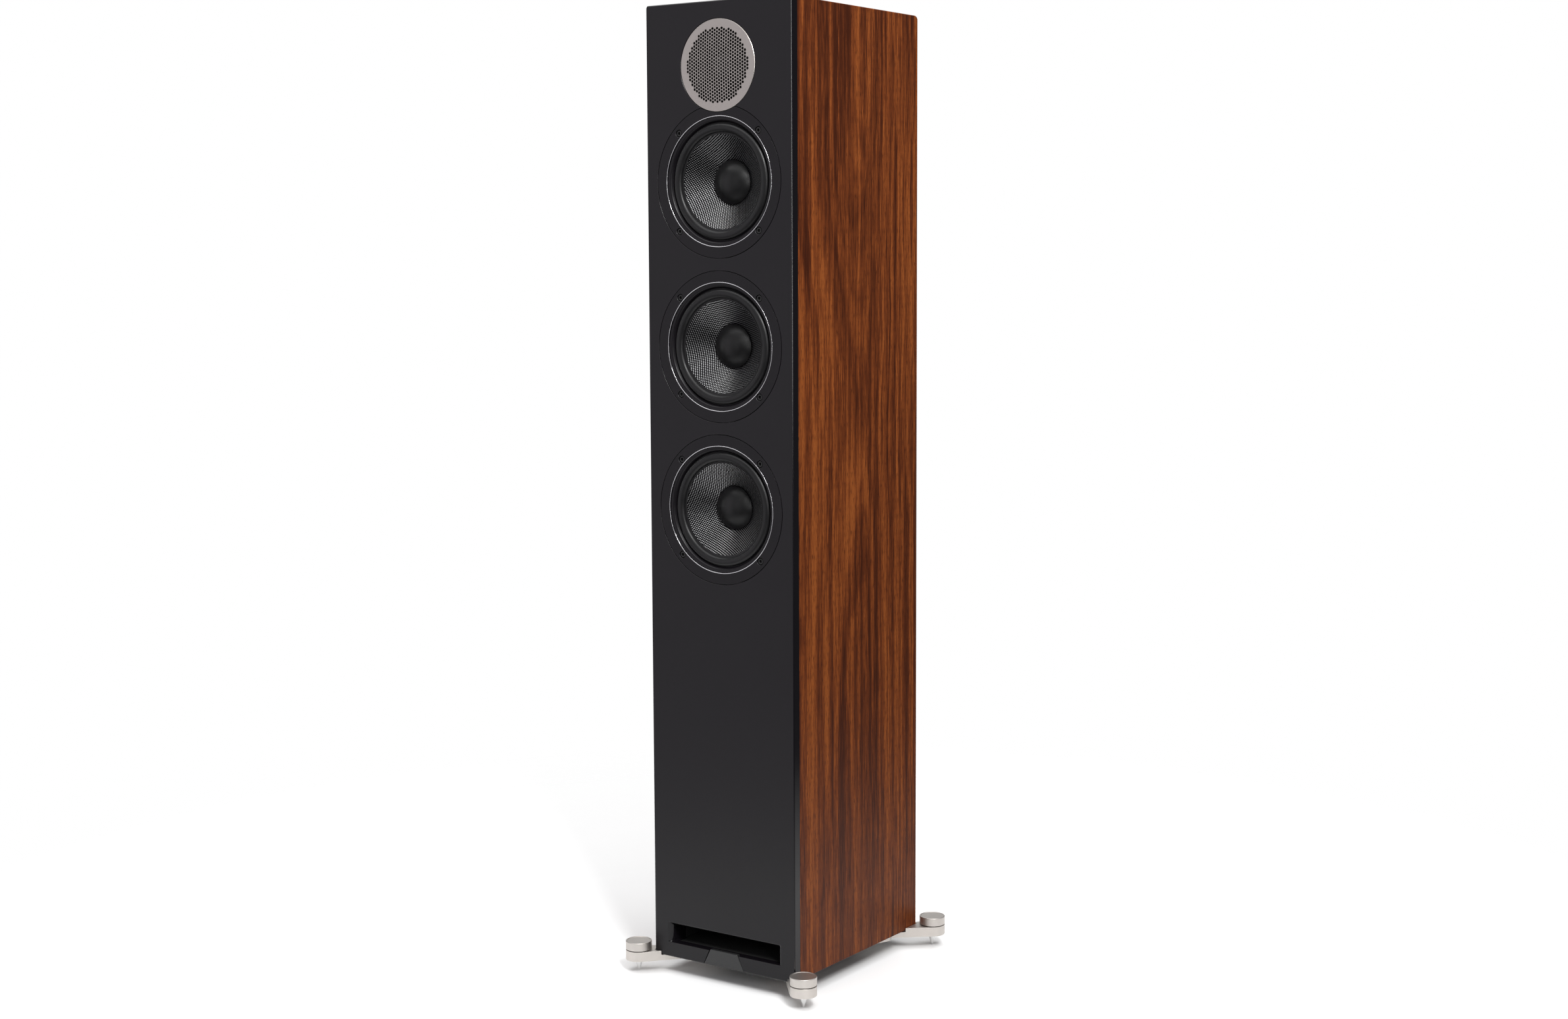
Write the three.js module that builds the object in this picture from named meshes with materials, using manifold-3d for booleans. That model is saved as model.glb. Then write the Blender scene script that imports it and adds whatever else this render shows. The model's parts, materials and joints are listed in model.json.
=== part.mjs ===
// Three-way floorstanding loudspeaker: a slim bass-reflex cabinet with a dome tweeter, three
// 5.25-inch cone drivers, a slot port and four outrigger feet that are levelled from above.
// Millimetres. +Z is up, the floor is z = 0, the baffle faces -Y, and the origin lies under
// the middle of the cabinet, on the floor.
import * as THREE from 'three';
import { mergeVertices } from 'three/addons/utils/BufferGeometryUtils.js';
import Module from 'manifold-3d';

const wasm = await Module();
wasm.setup();

// ---------------------------------------------------------------- driving dimensions
const CABINET = { width: 188, depth: 245, height: 1032 };
const FLOOR_GAP = 20; // floor to the underside of the cabinet
const GAP = 0.3; // clearance between touching pieces
const WALL = 18; // side, top and back panels
const BASE_WALL = 15; // bottom panel
const SHELF = 15; // inner shelves
const BAFFLE = { face: 10, tongue: 12, proud: 1.2, corner: 3.5 };
const BACK_CORNER = 6; // rounding of the panels' top rear corner

const DRIVER_HEIGHTS = { upper: 845.5, middle: 672.8, lower: 500.1 }; // above the cabinet's underside
const FLANGE = { radius: 79.7, thickness: 5.5 };
const TRIM_RING = { outer: 68.3, inner: 66, depth: 1.8, bevel: 1.2 };
const ROLL = { radius: 56.2, halfWidth: 5, height: 4.3, rubber: 0.7 }; // surround's half roll
const CONE = { outer: 50.8, slope: 0.7, wall: 1.3 };
const FORMER = { outer: 13.5, inner: 12.9, end: 66 }; // voice coil former
const DUST_CAP = { radius: 23.5, height: 10.5 };

const TWEETER = { height: 965.5, radius: 47.8, ring: 0.9, perforated: 40.4, neck: 33.5, throat: 14.6 };
const SLOT = { halfWidth: 70, low: 16.5, high: 36.3, lip: 6, flare: 1.16, length: 160 };
const PORT = { cheek: 5.3, roof: 9 }; // walls of the slot's passage behind the baffle
const BADGE = { bottom: 27.1, top: 18.2, height: 18.1, thickness: 4.7, recess: 0.4 };

const TERMINAL = { height: 130, width: 84, tall: 54, wall: 3, flange: 14, corner: 5, spacing: 38 };
const POST = { stud: 2.9, root: 14, collar: 7, collarHeight: 3.4, tip: 24 };
const NUT = { foot: 4, core: 5, coreHeight: 15, cap: 8.5, capHeight: 17.5, edge: 1 };

const FOOT = { x: 110.5, y: 131, radius: 14.5 }; // middle of a foot's boss
const ARM = { bottom: 13.5, top: 24.3, width: 28, straight: 52, taper: 12, length: 92, padWidth: 44 };
const ARM_ANGLE = { front: 39, rear: 51 }; // degrees from the X axis, inwards
const ARM_CLEARANCE = 0.8; // from the arm's step to the cabinet's walls
const KNOB = { bottom: 25.1, top: 34.3, edge: 0.8 };
const SPIKE = { tip: 0.6, cone: 4.2, coneHeight: 9, collar: 5, stud: 3.9, top: 31, lift: 5 };

const FACETS = { ring: 24, inner: 16, small: 12 };

const yFront = -CABINET.depth / 2;
const yBack = CABINET.depth / 2;
const zBase = FLOOR_GAP;
const zPanelBottom = zBase + BAFFLE.proud;
const zPanelTop = zBase + CABINET.height - BAFFLE.proud;
const yPanelFront = yFront + BAFFLE.face + GAP;
const yInside = yFront + BAFFLE.face + BAFFLE.tongue + GAP; // just behind the baffle's tongue
const halfInside = CABINET.width / 2 - WALL - GAP; // half width of what fits between the sides
const zInsideBottom = zPanelBottom + BASE_WALL + GAP;
const zInsideTop = zPanelTop - WALL - GAP;
const yBackInner = yBack - WALL;
const THREAD_GAP = 0.4; // round a stud in its hole

// ---------------------------------------------------------------- finishes
const finish = (color, roughness, metalness) => () =>
  new THREE.MeshStandardMaterial({ color, roughness, metalness });
const satinBlack = finish(0x2b2a2d, 0.55, 0);
const walnut = finish(0x7d4527, 0.5, 0);
const rawBoard = finish(0x9c7b56, 0.9, 0);
const satinNickel = finish(0xbfb9b2, 0.35, 0.9);
const polished = finish(0xe2e2e2, 0.1, 1);
const rubber = finish(0x1b1b1c, 0.6, 0);
const wovenFibre = finish(0x54555a, 0.5, 0.2);
const blackPlastic = finish(0x161617, 0.45, 0);
const castMetal = finish(0x2c2d2f, 0.5, 0.4);
const magnetSteel = finish(0x3a3b3e, 0.6, 0.6);
const doped = finish(0xb98d45, 0.9, 0);
const silk = finish(0x202022, 0.8, 0);
const brass = finish(0xc8a34a, 0.25, 1);
const redPlastic = finish(0xa01c1c, 0.4, 0);
const felt = finish(0xc9c8c2, 1, 0);
const circuitBoard = finish(0x1f5a35, 0.6, 0);
const copper = finish(0xb4633a, 0.35, 1);

// ---------------------------------------------------------------- solids
function toSolid(geometry) {
  const bare = geometry.clone();
  bare.deleteAttribute('normal');
  bare.deleteAttribute('uv');
  const merged = mergeVertices(bare, 1e-4);
  const corners = merged.attributes.position;
  const triangles = [];
  for (let i = 0; i < merged.index.count; i += 3) {
    const [a, b, c] = [0, 1, 2].map((k) => merged.index.getX(i + k));
    if (a !== b && b !== c && c !== a) triangles.push(a, b, c);
  }
  if (signedVolume(corners, triangles) < 0) triangles.reverse();
  return new wasm.Manifold(
    new wasm.Mesh({
      numProp: 3,
      vertProperties: new Float32Array(corners.array),
      triVerts: new Uint32Array(triangles),
    }),
  );
}

function signedVolume(corners, triangles) {
  const [a, b, c] = [new THREE.Vector3(), new THREE.Vector3(), new THREE.Vector3()];
  let sum = 0;
  for (let i = 0; i < triangles.length; i += 3) {
    a.fromBufferAttribute(corners, triangles[i]);
    b.fromBufferAttribute(corners, triangles[i + 1]);
    c.fromBufferAttribute(corners, triangles[i + 2]);
    sum += a.dot(b.cross(c)) / 6;
  }
  return sum;
}

function toGeometry(solid) {
  const mesh = solid.getMesh();
  const geometry = new THREE.BufferGeometry();
  geometry.setAttribute('position', new THREE.BufferAttribute(mesh.vertProperties.slice(), 3));
  geometry.setIndex(new THREE.BufferAttribute(mesh.triVerts.slice(), 1));
  geometry.computeVertexNormals();
  return geometry;
}

const box = (x0, x1, y0, y1, z0, z1) =>
  toSolid(
    new THREE.BoxGeometry(x1 - x0, y1 - y0, z1 - z0).translate(
      (x0 + x1) / 2,
      (y0 + y1) / 2,
      (z0 + z1) / 2,
    ),
  );

// A turned piece about the Y axis. Points are [radius, depth behind the baffle's face].
const turned = (points, facets) => {
  const closesOnAxis = points[0][0] === 0 && points[points.length - 1][0] === 0;
  const outline = closesOnAxis ? points : [...points, points[0]];
  return toSolid(new THREE.LatheGeometry(outline.map(([r, d]) => new THREE.Vector2(r, d)), facets));
};

const disc = (radius, from, to, facets) =>
  turned([[0, from], [radius, from], [radius, to], [0, to]], facets);

// An outline of [across, up] points pushed along Y, or along X when alongX is set.
function extruded(shape, from, to, alongX = false) {
  const depth = to - from;
  const geometry = new THREE.ExtrudeGeometry(shape, { depth, bevelEnabled: false, curveSegments: 4 });
  if (alongX) {
    geometry.rotateY(Math.PI / 2).rotateX(Math.PI / 2).translate(from, 0, 0);
  } else {
    geometry.rotateX(Math.PI / 2).translate(0, to, 0);
  }
  return toSolid(geometry);
}

const polygon = (points) => new THREE.Shape(points.map(([a, b]) => new THREE.Vector2(a, b)));

function roundedRectangle(left, right, bottom, top, radius) {
  const shape = new THREE.Shape();
  shape.moveTo(left + radius, bottom);
  shape.lineTo(right - radius, bottom);
  shape.absarc(right - radius, bottom + radius, radius, -Math.PI / 2, 0);
  shape.lineTo(right, top - radius);
  shape.absarc(right - radius, top - radius, radius, 0, Math.PI / 2);
  shape.lineTo(left + radius, top);
  shape.absarc(left + radius, top - radius, radius, Math.PI / 2, Math.PI);
  shape.lineTo(left, bottom + radius);
  shape.absarc(left + radius, bottom + radius, radius, Math.PI, Math.PI * 1.5);
  return shape;
}

// Arc points of an ellipse from one angle to another, in degrees: 0 is outwards, -90 is forwards.
function arc(radius, depth, across, high, fromDeg, toDeg, steps) {
  return Array.from({ length: steps + 1 }, (_, i) => {
    const angle = THREE.MathUtils.degToRad(fromDeg + ((toDeg - fromDeg) * i) / steps);
    return [radius + across * Math.cos(angle), depth + high * Math.sin(angle)];
  });
}

const speaker = new THREE.Group();

function addPiece(name, solid, material, place = [0, 0, 0], parent = speaker) {
  const mesh = new THREE.Mesh(toGeometry(solid), material());
  mesh.name = name;
  mesh.position.set(...place);
  parent.add(mesh);
}

// ---------------------------------------------------------------- cabinet
// The baffle is one board: a face as wide as the cabinet, with a tongue between the panels.
function frontBaffle() {
  const { width, height } = CABINET;
  const top = zBase + height;
  const outline = roundedRectangle(-width / 2, width / 2, zBase, top, BAFFLE.corner);
  const tongueFront = yFront + BAFFLE.face;
  let board = extruded(outline, yFront, tongueFront).add(
    box(-halfInside, halfInside, tongueFront - 1, yInside - GAP, zInsideBottom, zInsideTop),
  );
  const reach = BAFFLE.face + BAFFLE.tongue + 2;
  const cutRound = (radius, depth, z) => {
    const cutter = disc(radius, -1, depth, FACETS.ring).translate([0, yFront, z]);
    board = board.subtract(cutter);
  };
  for (const height of Object.values(DRIVER_HEIGHTS)) {
    cutRound(FLANGE.radius + GAP, FLANGE.thickness + GAP, zBase + height);
    cutRound(BASKET.radius + 2 * GAP, reach, zBase + height);
  }
  cutRound(TWEETER.radius + TWEETER.ring, FLANGE.thickness + GAP, zBase + TWEETER.height);
  cutRound(TWEETER.neck + 3 * GAP, reach, zBase + TWEETER.height);
  return board.subtract(slotMouth()).subtract(badgePocket());
}

function slotMouth() {
  const { halfWidth, low, high, lip, flare } = SLOT;
  const middle = zBase + (low + high) / 2;
  const halfHeight = (high - low) / 2;
  const passage = box(
    -halfWidth, halfWidth, yFront - 1, yInside + 1, zBase + low, zBase + high,
  );
  // a four-sided funnel that opens the mouth's ends and top towards the front
  const funnel = new THREE.CylinderGeometry(Math.SQRT1_2, Math.SQRT1_2 * flare, 1, 4, 1)
    .rotateY(Math.PI / 4)
    .scale(2 * halfWidth, lip, 2 * halfHeight)
    .translate(0, yFront + lip / 2 - GAP / 10, middle);
  return passage.add(toSolid(funnel));
}

function badgeOutline(grow) {
  return polygon([
    [-BADGE.bottom - grow, zBase - grow],
    [BADGE.bottom + grow, zBase - grow],
    [BADGE.top + grow, zBase + BADGE.height + grow],
    [-BADGE.top - grow, zBase + BADGE.height + grow],
  ]);
}

const badgePocket = () =>
  extruded(badgeOutline(BADGE.recess), yFront - 1, yFront + BADGE.thickness + GAP);

const nameBadge = () => extruded(badgeOutline(-GAP), yFront, yFront + BADGE.thickness);

// Side view of a panel as [depth, height], with its top rear corner rounded.
function sideOutline(front, back, bottom, top, radius) {
  const shape = new THREE.Shape();
  shape.moveTo(front, bottom);
  shape.lineTo(back, bottom);
  shape.lineTo(back, top - radius);
  shape.absarc(back - radius, top - radius, radius, 0, Math.PI / 2);
  shape.lineTo(front, top);
  return shape;
}

const panelAlongX = (outline, from, to) => extruded(outline, from, to, true);

// The side and top panels meet in a mitre, so that no joint shows on a face of the cabinet.
const mitre = GAP * Math.SQRT1_2; // each panel's share of the gap between them

function sidePanel(side) {
  const outline = sideOutline(yPanelFront, yBack, zPanelBottom, zPanelTop, BACK_CORNER);
  const outer = CABINET.width / 2;
  const inner = outer - WALL;
  const section = polygon([
    [side * inner, zPanelBottom],
    [side * outer, zPanelBottom],
    [side * outer, zPanelTop - mitre],
    [side * inner, zPanelTop - mitre - WALL],
  ]);
  return extruded(section, yPanelFront, yBack).intersect(panelAlongX(outline, -outer, outer));
}

function topPanel() {
  const low = zPanelTop - WALL;
  const outline = sideOutline(yPanelFront, yBack, low, zPanelTop, BACK_CORNER);
  const outer = CABINET.width / 2 - mitre;
  const inner = outer - WALL;
  const section = polygon([[-outer, zPanelTop], [-inner, low], [inner, low], [outer, zPanelTop]]);
  return extruded(section, yPanelFront, yBack).intersect(panelAlongX(outline, -outer, outer));
}

const bottomPanel = () =>
  box(-halfInside, halfInside, yPanelFront, yBack, zPanelBottom, zPanelBottom + BASE_WALL);

function backPanel() {
  const board = box(-halfInside, halfInside, yBackInner, yBack, zInsideBottom, zInsideTop);
  const halfWide = TERMINAL.width / 2 + TERMINAL.wall + GAP;
  const halfTall = TERMINAL.tall / 2 + TERMINAL.wall + GAP;
  const z = zBase + TERMINAL.height;
  return board.subtract(
    box(-halfWide, halfWide, yBackInner - 1, yBack + 1, z - halfTall, z + halfTall),
  );
}

// A shelf that ties the four walls together, with an air window unless it seals a chamber.
const AIR_WINDOW = { halfWidth: 50, halfDepth: 47.5, middle: 2.5 };

function shelf(z, windowed) {
  const [low, high] = [z - SHELF / 2, z + SHELF / 2];
  const board = box(-halfInside, halfInside, yInside, yBackInner - GAP, low, high);
  if (!windowed) return board;
  const { halfWidth, halfDepth, middle } = AIR_WINDOW;
  return board.subtract(
    box(-halfWidth, halfWidth, middle - halfDepth, middle + halfDepth, low - 1, high + 1),
  );
}

// The slot port runs along the cabinet's floor: a roof and two cheeks, open below and at both ends.
function portShelf() {
  const { halfWidth, high, length } = SLOT;
  const outer = halfWidth + PORT.cheek;
  const floor = zInsideBottom;
  const ceiling = zBase + high;
  const shape = polygon([
    [-outer, floor],
    [-halfWidth, floor],
    [-halfWidth, ceiling],
    [halfWidth, ceiling],
    [halfWidth, floor],
    [outer, floor],
    [outer, ceiling + PORT.roof],
    [-outer, ceiling + PORT.roof],
  ]);
  return extruded(shape, yInside, yInside + length);
}

const WADDING = { halfWidth: 68, thickness: 24, clearance: 20 };

const dampingPad = (zLow, zHigh) =>
  box(
    -WADDING.halfWidth, WADDING.halfWidth,
    yBackInner - WADDING.thickness, yBackInner - GAP,
    zLow + WADDING.clearance, zHigh - WADDING.clearance,
  );

// ---------------------------------------------------------------- cone drivers
const LIP = { outer: 62.6, seat: 6.9, face: 5.9, inner: 47.8 }; // surround's flat lips
// Radii, and depths behind the baffle's face, of the cast basket.
const BASKET = {
  radius: 66, shoulder: 12, mouth: 58, mouthDepth: 9.5, bell: 63, bellDepth: 13,
  throat: 48, landing: 47.3, landingOuter: 50, ledge: 44.5, floor: 30, wall: 2.5, back: 61,
};
const WINDOW = { halfWidth: 16, front: 18, inner: 40, outer: 80 };

function driverFrame() {
  const ring = TRIM_RING.outer + GAP;
  return turned(
    [
      [FLANGE.radius, 0],
      [FLANGE.radius, FLANGE.thickness],
      [BASKET.radius, FLANGE.thickness],
      [BASKET.radius, BASKET.shoulder],
      [BASKET.throat, BASKET.back - BASKET.wall],
      [BASKET.throat, BASKET.back],
      [BASKET.floor, BASKET.back],
      [BASKET.floor, BASKET.back - BASKET.wall],
      [BASKET.ledge, BASKET.back - BASKET.wall],
      [BASKET.ledge, BASKET.landing],
      [BASKET.landingOuter, BASKET.landing],
      [BASKET.bell, BASKET.bellDepth],
      [BASKET.mouth, BASKET.mouthDepth],
      [BASKET.mouth, LIP.seat + GAP],
      [LIP.outer + GAP, LIP.seat + GAP],
      [LIP.outer + GAP, LIP.face - 3 * GAP],
      [TRIM_RING.inner, TRIM_RING.depth + GAP],
      [ring, TRIM_RING.depth + GAP],
      [ring, 0],
    ],
    FACETS.ring,
  );
}

// Four windows let the air behind the cone out of the basket.
function basketWindows(frame) {
  const { halfWidth, front, inner, outer } = WINDOW;
  const window = box(-halfWidth, halfWidth, front, BASKET.landing - 6, inner, outer);
  return [45, 135, 225, 315].reduce((left, turn) => left.subtract(window.rotate([0, turn, 0])), frame);
}

const trimRing = () =>
  turned(
    [
      [TRIM_RING.outer, 0],
      [TRIM_RING.outer, TRIM_RING.depth],
      [TRIM_RING.inner, TRIM_RING.depth],
      [TRIM_RING.inner, TRIM_RING.bevel],
      [TRIM_RING.inner + TRIM_RING.bevel, 0],
    ],
    FACETS.ring,
  );

function surround() {
  const { radius, halfWidth, height, rubber: thick } = ROLL;
  return turned(
    [
      [LIP.outer, LIP.face],
      ...arc(radius, LIP.face, halfWidth, height, 0, -180, 5),
      [LIP.inner, LIP.face],
      [LIP.inner, LIP.face + thick],
      ...arc(radius, LIP.face + thick, halfWidth - thick, height, -180, 0, 4),
      [BASKET.mouth + GAP, LIP.seat],
      [LIP.outer, LIP.seat],
    ],
    FACETS.ring,
  );
}

// The cone runs down to the voice coil former in one piece.
function cone() {
  const { outer, slope, wall } = CONE;
  const front = LIP.face + ROLL.rubber + GAP;
  const depthAt = (r) => front + slope * (outer - r);
  return turned(
    [
      [outer, front],
      [outer, front + wall],
      [FORMER.outer, depthAt(FORMER.outer) + wall],
      [FORMER.outer, FORMER.end],
      [FORMER.inner, FORMER.end],
      [FORMER.inner, depthAt(FORMER.inner)],
    ],
    FACETS.ring,
  );
}

// Depth of the dust cap's rim, just clear of the cone's face.
const capRim = LIP.face + ROLL.rubber + CONE.slope * (CONE.outer - DUST_CAP.radius) - GAP;

// A thin domed cap about the Y axis: its rim at the given depth, its crown facing forwards.
function dome(radius, height, rimDepth, wall, skirt, steps, facets) {
  const ball = (radius * radius + height * height) / (2 * height);
  const depthOf = (r) => rimDepth - height + ball - Math.sqrt(ball * ball - r * r);
  const radii = Array.from({ length: steps + 1 }, (_, i) => (radius * i) / steps);
  const outside = radii.map((r) => [r, depthOf(r)]);
  const inside = radii
    .map((r) => [(r * (radius - wall)) / radius, depthOf(r) + wall])
    .reverse();
  return turned([...outside, [radius, rimDepth + skirt], [radius - wall, rimDepth + skirt], ...inside], facets);
}

const SPIDER = { bore: 14.1, radius: 49, thickness: 0.7 };

function spider() {
  const depth = BASKET.landing - GAP - 0.5;
  const waves = [[18, 0], [23, 1.5], [28, -1.5], [33, 1.5], [38, 0]];
  const skin = (offset) => waves.map(([r, rise]) => [r, depth - rise + offset]);
  const { bore, radius, thickness } = SPIDER;
  return turned(
    [
      [bore, depth - thickness],
      ...skin(-thickness),
      [radius, depth - thickness],
      [radius, depth],
      ...skin(0).reverse(),
      [bore, depth],
    ],
    FACETS.inner,
  );
}

// Magnet, plates and pole piece; the former runs in the gap between pole and plate.
const MOTOR = {
  pole: 12.3, gapOuter: 14.1, gapEnd: 80, plate: 40, step: 5, magnet: 45, magnetEnd: 81, end: 88,
};

function motor() {
  const face = BASKET.back + GAP;
  const poleFace = face - 3;
  return turned(
    [
      [0, poleFace],
      [MOTOR.pole, poleFace],
      [MOTOR.pole, MOTOR.gapEnd],
      [MOTOR.gapOuter, MOTOR.gapEnd],
      [MOTOR.gapOuter, face],
      [MOTOR.plate, face],
      [MOTOR.plate, face + MOTOR.step],
      [MOTOR.magnet, face + MOTOR.step],
      [MOTOR.magnet, MOTOR.magnetEnd],
      [MOTOR.plate, MOTOR.magnetEnd],
      [MOTOR.plate, MOTOR.end],
      [0, MOTOR.end],
    ],
    FACETS.inner,
  );
}

function driver(name, height) {
  const place = [0, yFront, zBase + height];
  let frame = basketWindows(driverFrame());
  if (name === 'upper') {
    const toTweeter = TWEETER.height - height;
    const bite = disc(TWEETER.radius + TWEETER.ring, -1, FLANGE.thickness + 1, FACETS.ring);
    frame = frame.subtract(bite.translate([0, 0, toTweeter]));
  }
  addPiece(`${name}_frame`, frame, castMetal, place);
  addPiece(`${name}_trim_ring`, trimRing(), polished, place);
  addPiece(`${name}_surround`, surround(), rubber, place);
  addPiece(`${name}_cone`, cone(), wovenFibre, place);
  const cap = dome(DUST_CAP.radius, DUST_CAP.height, capRim, 1, 0, 3, FACETS.ring);
  addPiece(`${name}_dust_cap`, cap, rubber, place);
  addPiece(`${name}_spider`, spider(), doped, place);
  addPiece(`${name}_motor`, motor(), magnetSteel, place);
}

// ---------------------------------------------------------------- tweeter
const GRILLE = { bulge: 1.5, thickness: 1.9, edge: 0.5 };
const HORN = { face: 2.2, floor: 8, end: 12 }; // depths of the plate that carries the dome
const TWEETER_DOME = { radius: 13, height: 5, rim: 10, wall: 0.6, skirt: 6 };
const TWEETER_MOTOR = { pole: 11.7, gapOuter: 13.8, gapEnd: 20, radius: 30, end: 34 };

function tweeterPlate() {
  const { radius, perforated, neck, throat } = TWEETER;
  return turned(
    [
      [radius, HORN.face],
      [radius, FLANGE.thickness],
      [neck, FLANGE.thickness],
      [neck, HORN.end],
      [throat, HORN.end],
      [throat, HORN.floor],
      [perforated, HORN.face],
    ],
    FACETS.ring,
  );
}

function tweeterGrille() {
  const { radius, perforated } = TWEETER;
  const { bulge, thickness, edge } = GRILLE;
  const skin = (offset) =>
    [0, 0.5, 0.8, 1].map((k) => [perforated * k, bulge * (k * k - 1) + offset]);
  return turned(
    [...skin(0), [radius - edge, 0], [radius, edge], [radius, thickness], ...skin(thickness).reverse()],
    FACETS.ring,
  );
}

function tweeterMotor() {
  const { pole, gapOuter, gapEnd, radius, end } = TWEETER_MOTOR;
  const face = HORN.end + GAP;
  return turned(
    [
      [0, face], [pole, face], [pole, gapEnd], [gapOuter, gapEnd],
      [gapOuter, face], [radius, face], [radius, end], [0, end],
    ],
    FACETS.inner,
  );
}

function tweeter() {
  const place = [0, yFront, zBase + TWEETER.height];
  const { radius, height, rim, wall, skirt } = TWEETER_DOME;
  addPiece('tweeter_plate', tweeterPlate(), blackPlastic, place);
  addPiece('tweeter_grille', tweeterGrille(), satinNickel, place);
  addPiece('tweeter_dome', dome(radius, height, rim, wall, skirt, 3, FACETS.inner), silk, place);
  addPiece('tweeter_motor', tweeterMotor(), magnetSteel, place);
}

// ---------------------------------------------------------------- terminals and crossover
const postFloor = yBackInner + 3.5; // the face inside the cup that the posts stand on

function terminalCup() {
  const { width, tall, wall, flange, corner, spacing } = TERMINAL;
  const [w, t] = [width / 2, tall / 2];
  const body = box(-w - wall, w + wall, yBackInner + 0.5, yBack + 1, -t - wall, t + wall);
  const plate = roundedRectangle(-w - flange, w + flange, -t - flange, t + flange, corner);
  let cup = body.add(extruded(plate, yBack + GAP, yBack + wall));
  cup = cup.subtract(box(-w, w, postFloor, yBack + wall + 1, -t, t));
  const hole = disc(POST.stud + THREAD_GAP, yBackInner - 1, postFloor + 1, FACETS.small);
  return [-spacing / 2, spacing / 2].reduce((left, x) => left.subtract(hole.translate([x, 0, 0])), cup);
}

function post() {
  const seat = postFloor + GAP;
  const { stud, root, collar, collarHeight, tip } = POST;
  return turned(
    [
      [0, seat - root],
      [stud, seat - root],
      [stud, seat],
      [collar, seat],
      [collar, seat + collarHeight],
      [stud, seat + collarHeight],
      [stud, seat + tip],
      [0, seat + tip],
    ],
    FACETS.small,
  );
}

// The threaded metal core of a binding post's nut, and the knurled cap pressed over it.
const nutFoot = postFloor + GAP + NUT.foot;

function nutCore() {
  const bore = POST.stud + GAP;
  const end = nutFoot + NUT.coreHeight;
  return turned([[bore, nutFoot], [NUT.core, nutFoot], [NUT.core, end], [bore, end]], FACETS.small);
}

function nutCap() {
  const shell = NUT.core + GAP;
  const mouth = POST.stud + 3 * GAP;
  const shoulder = nutFoot + NUT.coreHeight + THREAD_GAP;
  const end = nutFoot + NUT.capHeight;
  return turned(
    [
      [shell, nutFoot],
      [NUT.cap, nutFoot],
      [NUT.cap, end - NUT.edge],
      [NUT.cap - NUT.edge, end],
      [mouth, end],
      [mouth, shoulder],
      [shell, shoulder],
    ],
    FACETS.small,
  );
}

function terminals() {
  const z = zBase + TERMINAL.height;
  addPiece('terminal_cup', terminalCup(), blackPlastic, [0, 0, z]);
  const half = TERMINAL.spacing / 2;
  for (const [side, x, capFinish] of [['left', -half, blackPlastic], ['right', half, redPlastic]]) {
    addPiece(`post_${side}`, post(), brass, [x, 0, z]);
    addPiece(`nut_core_${side}`, nutCore(), brass, [x, 0, z]);
    addPiece(`nut_cap_${side}`, nutCap(), capFinish, [x, 0, z]);
  }
}

const BOARD = { halfWidth: 55, thickness: 2, low: 240, high: 380 };
const COIL = { inner: 9, outer: 23, length: 20, x: -25, z: 340 };
const CAPACITOR = { radius: 12, halfLength: 24, x: 24, z: 300 };

function crossover() {
  const back = yBackInner - GAP;
  const front = back - BOARD.thickness;
  const face = front - GAP;
  const board = box(-BOARD.halfWidth, BOARD.halfWidth, front, back, BOARD.low, BOARD.high);
  addPiece('crossover_board', board, circuitBoard);
  const { inner, outer, length } = COIL;
  const coil = turned(
    [[inner, face - length], [outer, face - length], [outer, face], [inner, face]],
    FACETS.inner,
  );
  addPiece('inductor', coil, copper, [COIL.x, 0, COIL.z]);
  const { radius, halfLength } = CAPACITOR;
  const can = disc(radius, -halfLength, halfLength, FACETS.inner).rotate([90, 0, 0]);
  addPiece('capacitor', can, redPlastic, [CAPACITOR.x, face - radius - GAP, CAPACITOR.z]);
}

// ---------------------------------------------------------------- feet
// Plan of an arm along +X, from the boss's middle at the origin: round end, bar, wider pad.
function armOutline() {
  const half = ARM.width / 2;
  const lean = Math.asin(half / FOOT.radius); // where the bar meets the boss's circle
  const shape = new THREE.Shape();
  const boss = new THREE.Path().absarc(0, 0, FOOT.radius, lean, 2 * Math.PI - lean);
  shape.setFromPoints([
    ...boss.getPoints(14),
    new THREE.Vector2(ARM.straight, -half),
    new THREE.Vector2(ARM.length - ARM.taper, -ARM.padWidth / 2),
    new THREE.Vector2(ARM.length, -ARM.padWidth / 2),
    new THREE.Vector2(ARM.length, ARM.padWidth / 2),
    new THREE.Vector2(ARM.length - ARM.taper, ARM.padWidth / 2),
    new THREE.Vector2(ARM.straight, half),
  ]);
  return shape;
}

// A turned piece that stands upright. Points are [radius, height above the floor].
const upright = (points, facets) => turned(points, facets).rotate([90, 0, 0]);

// Each arm is full height outside the cabinet's footprint and steps down to pass below it.
// The spike's collar draws up into a counterbore under the boss.
function arm(x, y, turn) {
  const plan = new THREE.ExtrudeGeometry(armOutline(), {
    depth: ARM.top - ARM.bottom,
    bevelEnabled: false,
  });
  plan.rotateZ(turn).translate(x, y, ARM.bottom);
  const halfWidth = CABINET.width / 2 + ARM_CLEARANCE;
  const halfDepth = CABINET.depth / 2 + ARM_CLEARANCE;
  const footprint = box(
    -halfWidth, halfWidth, -halfDepth, halfDepth, zBase - GAP, ARM.top + 1,
  );
  const bore = SPIKE.stud + THREAD_GAP;
  const counterbore = SPIKE.collar + THREAD_GAP;
  const shoulder = ARM.bottom + SPIKE.lift + GAP;
  const hole = upright(
    [
      [0, 0],
      [counterbore, 0],
      [counterbore, shoulder],
      [bore, shoulder],
      [bore, ARM.top + 1],
      [0, ARM.top + 1],
    ],
    FACETS.small,
  );
  return toSolid(plan).subtract(footprint).subtract(hole.translate([x, y, 0]));
}

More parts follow.
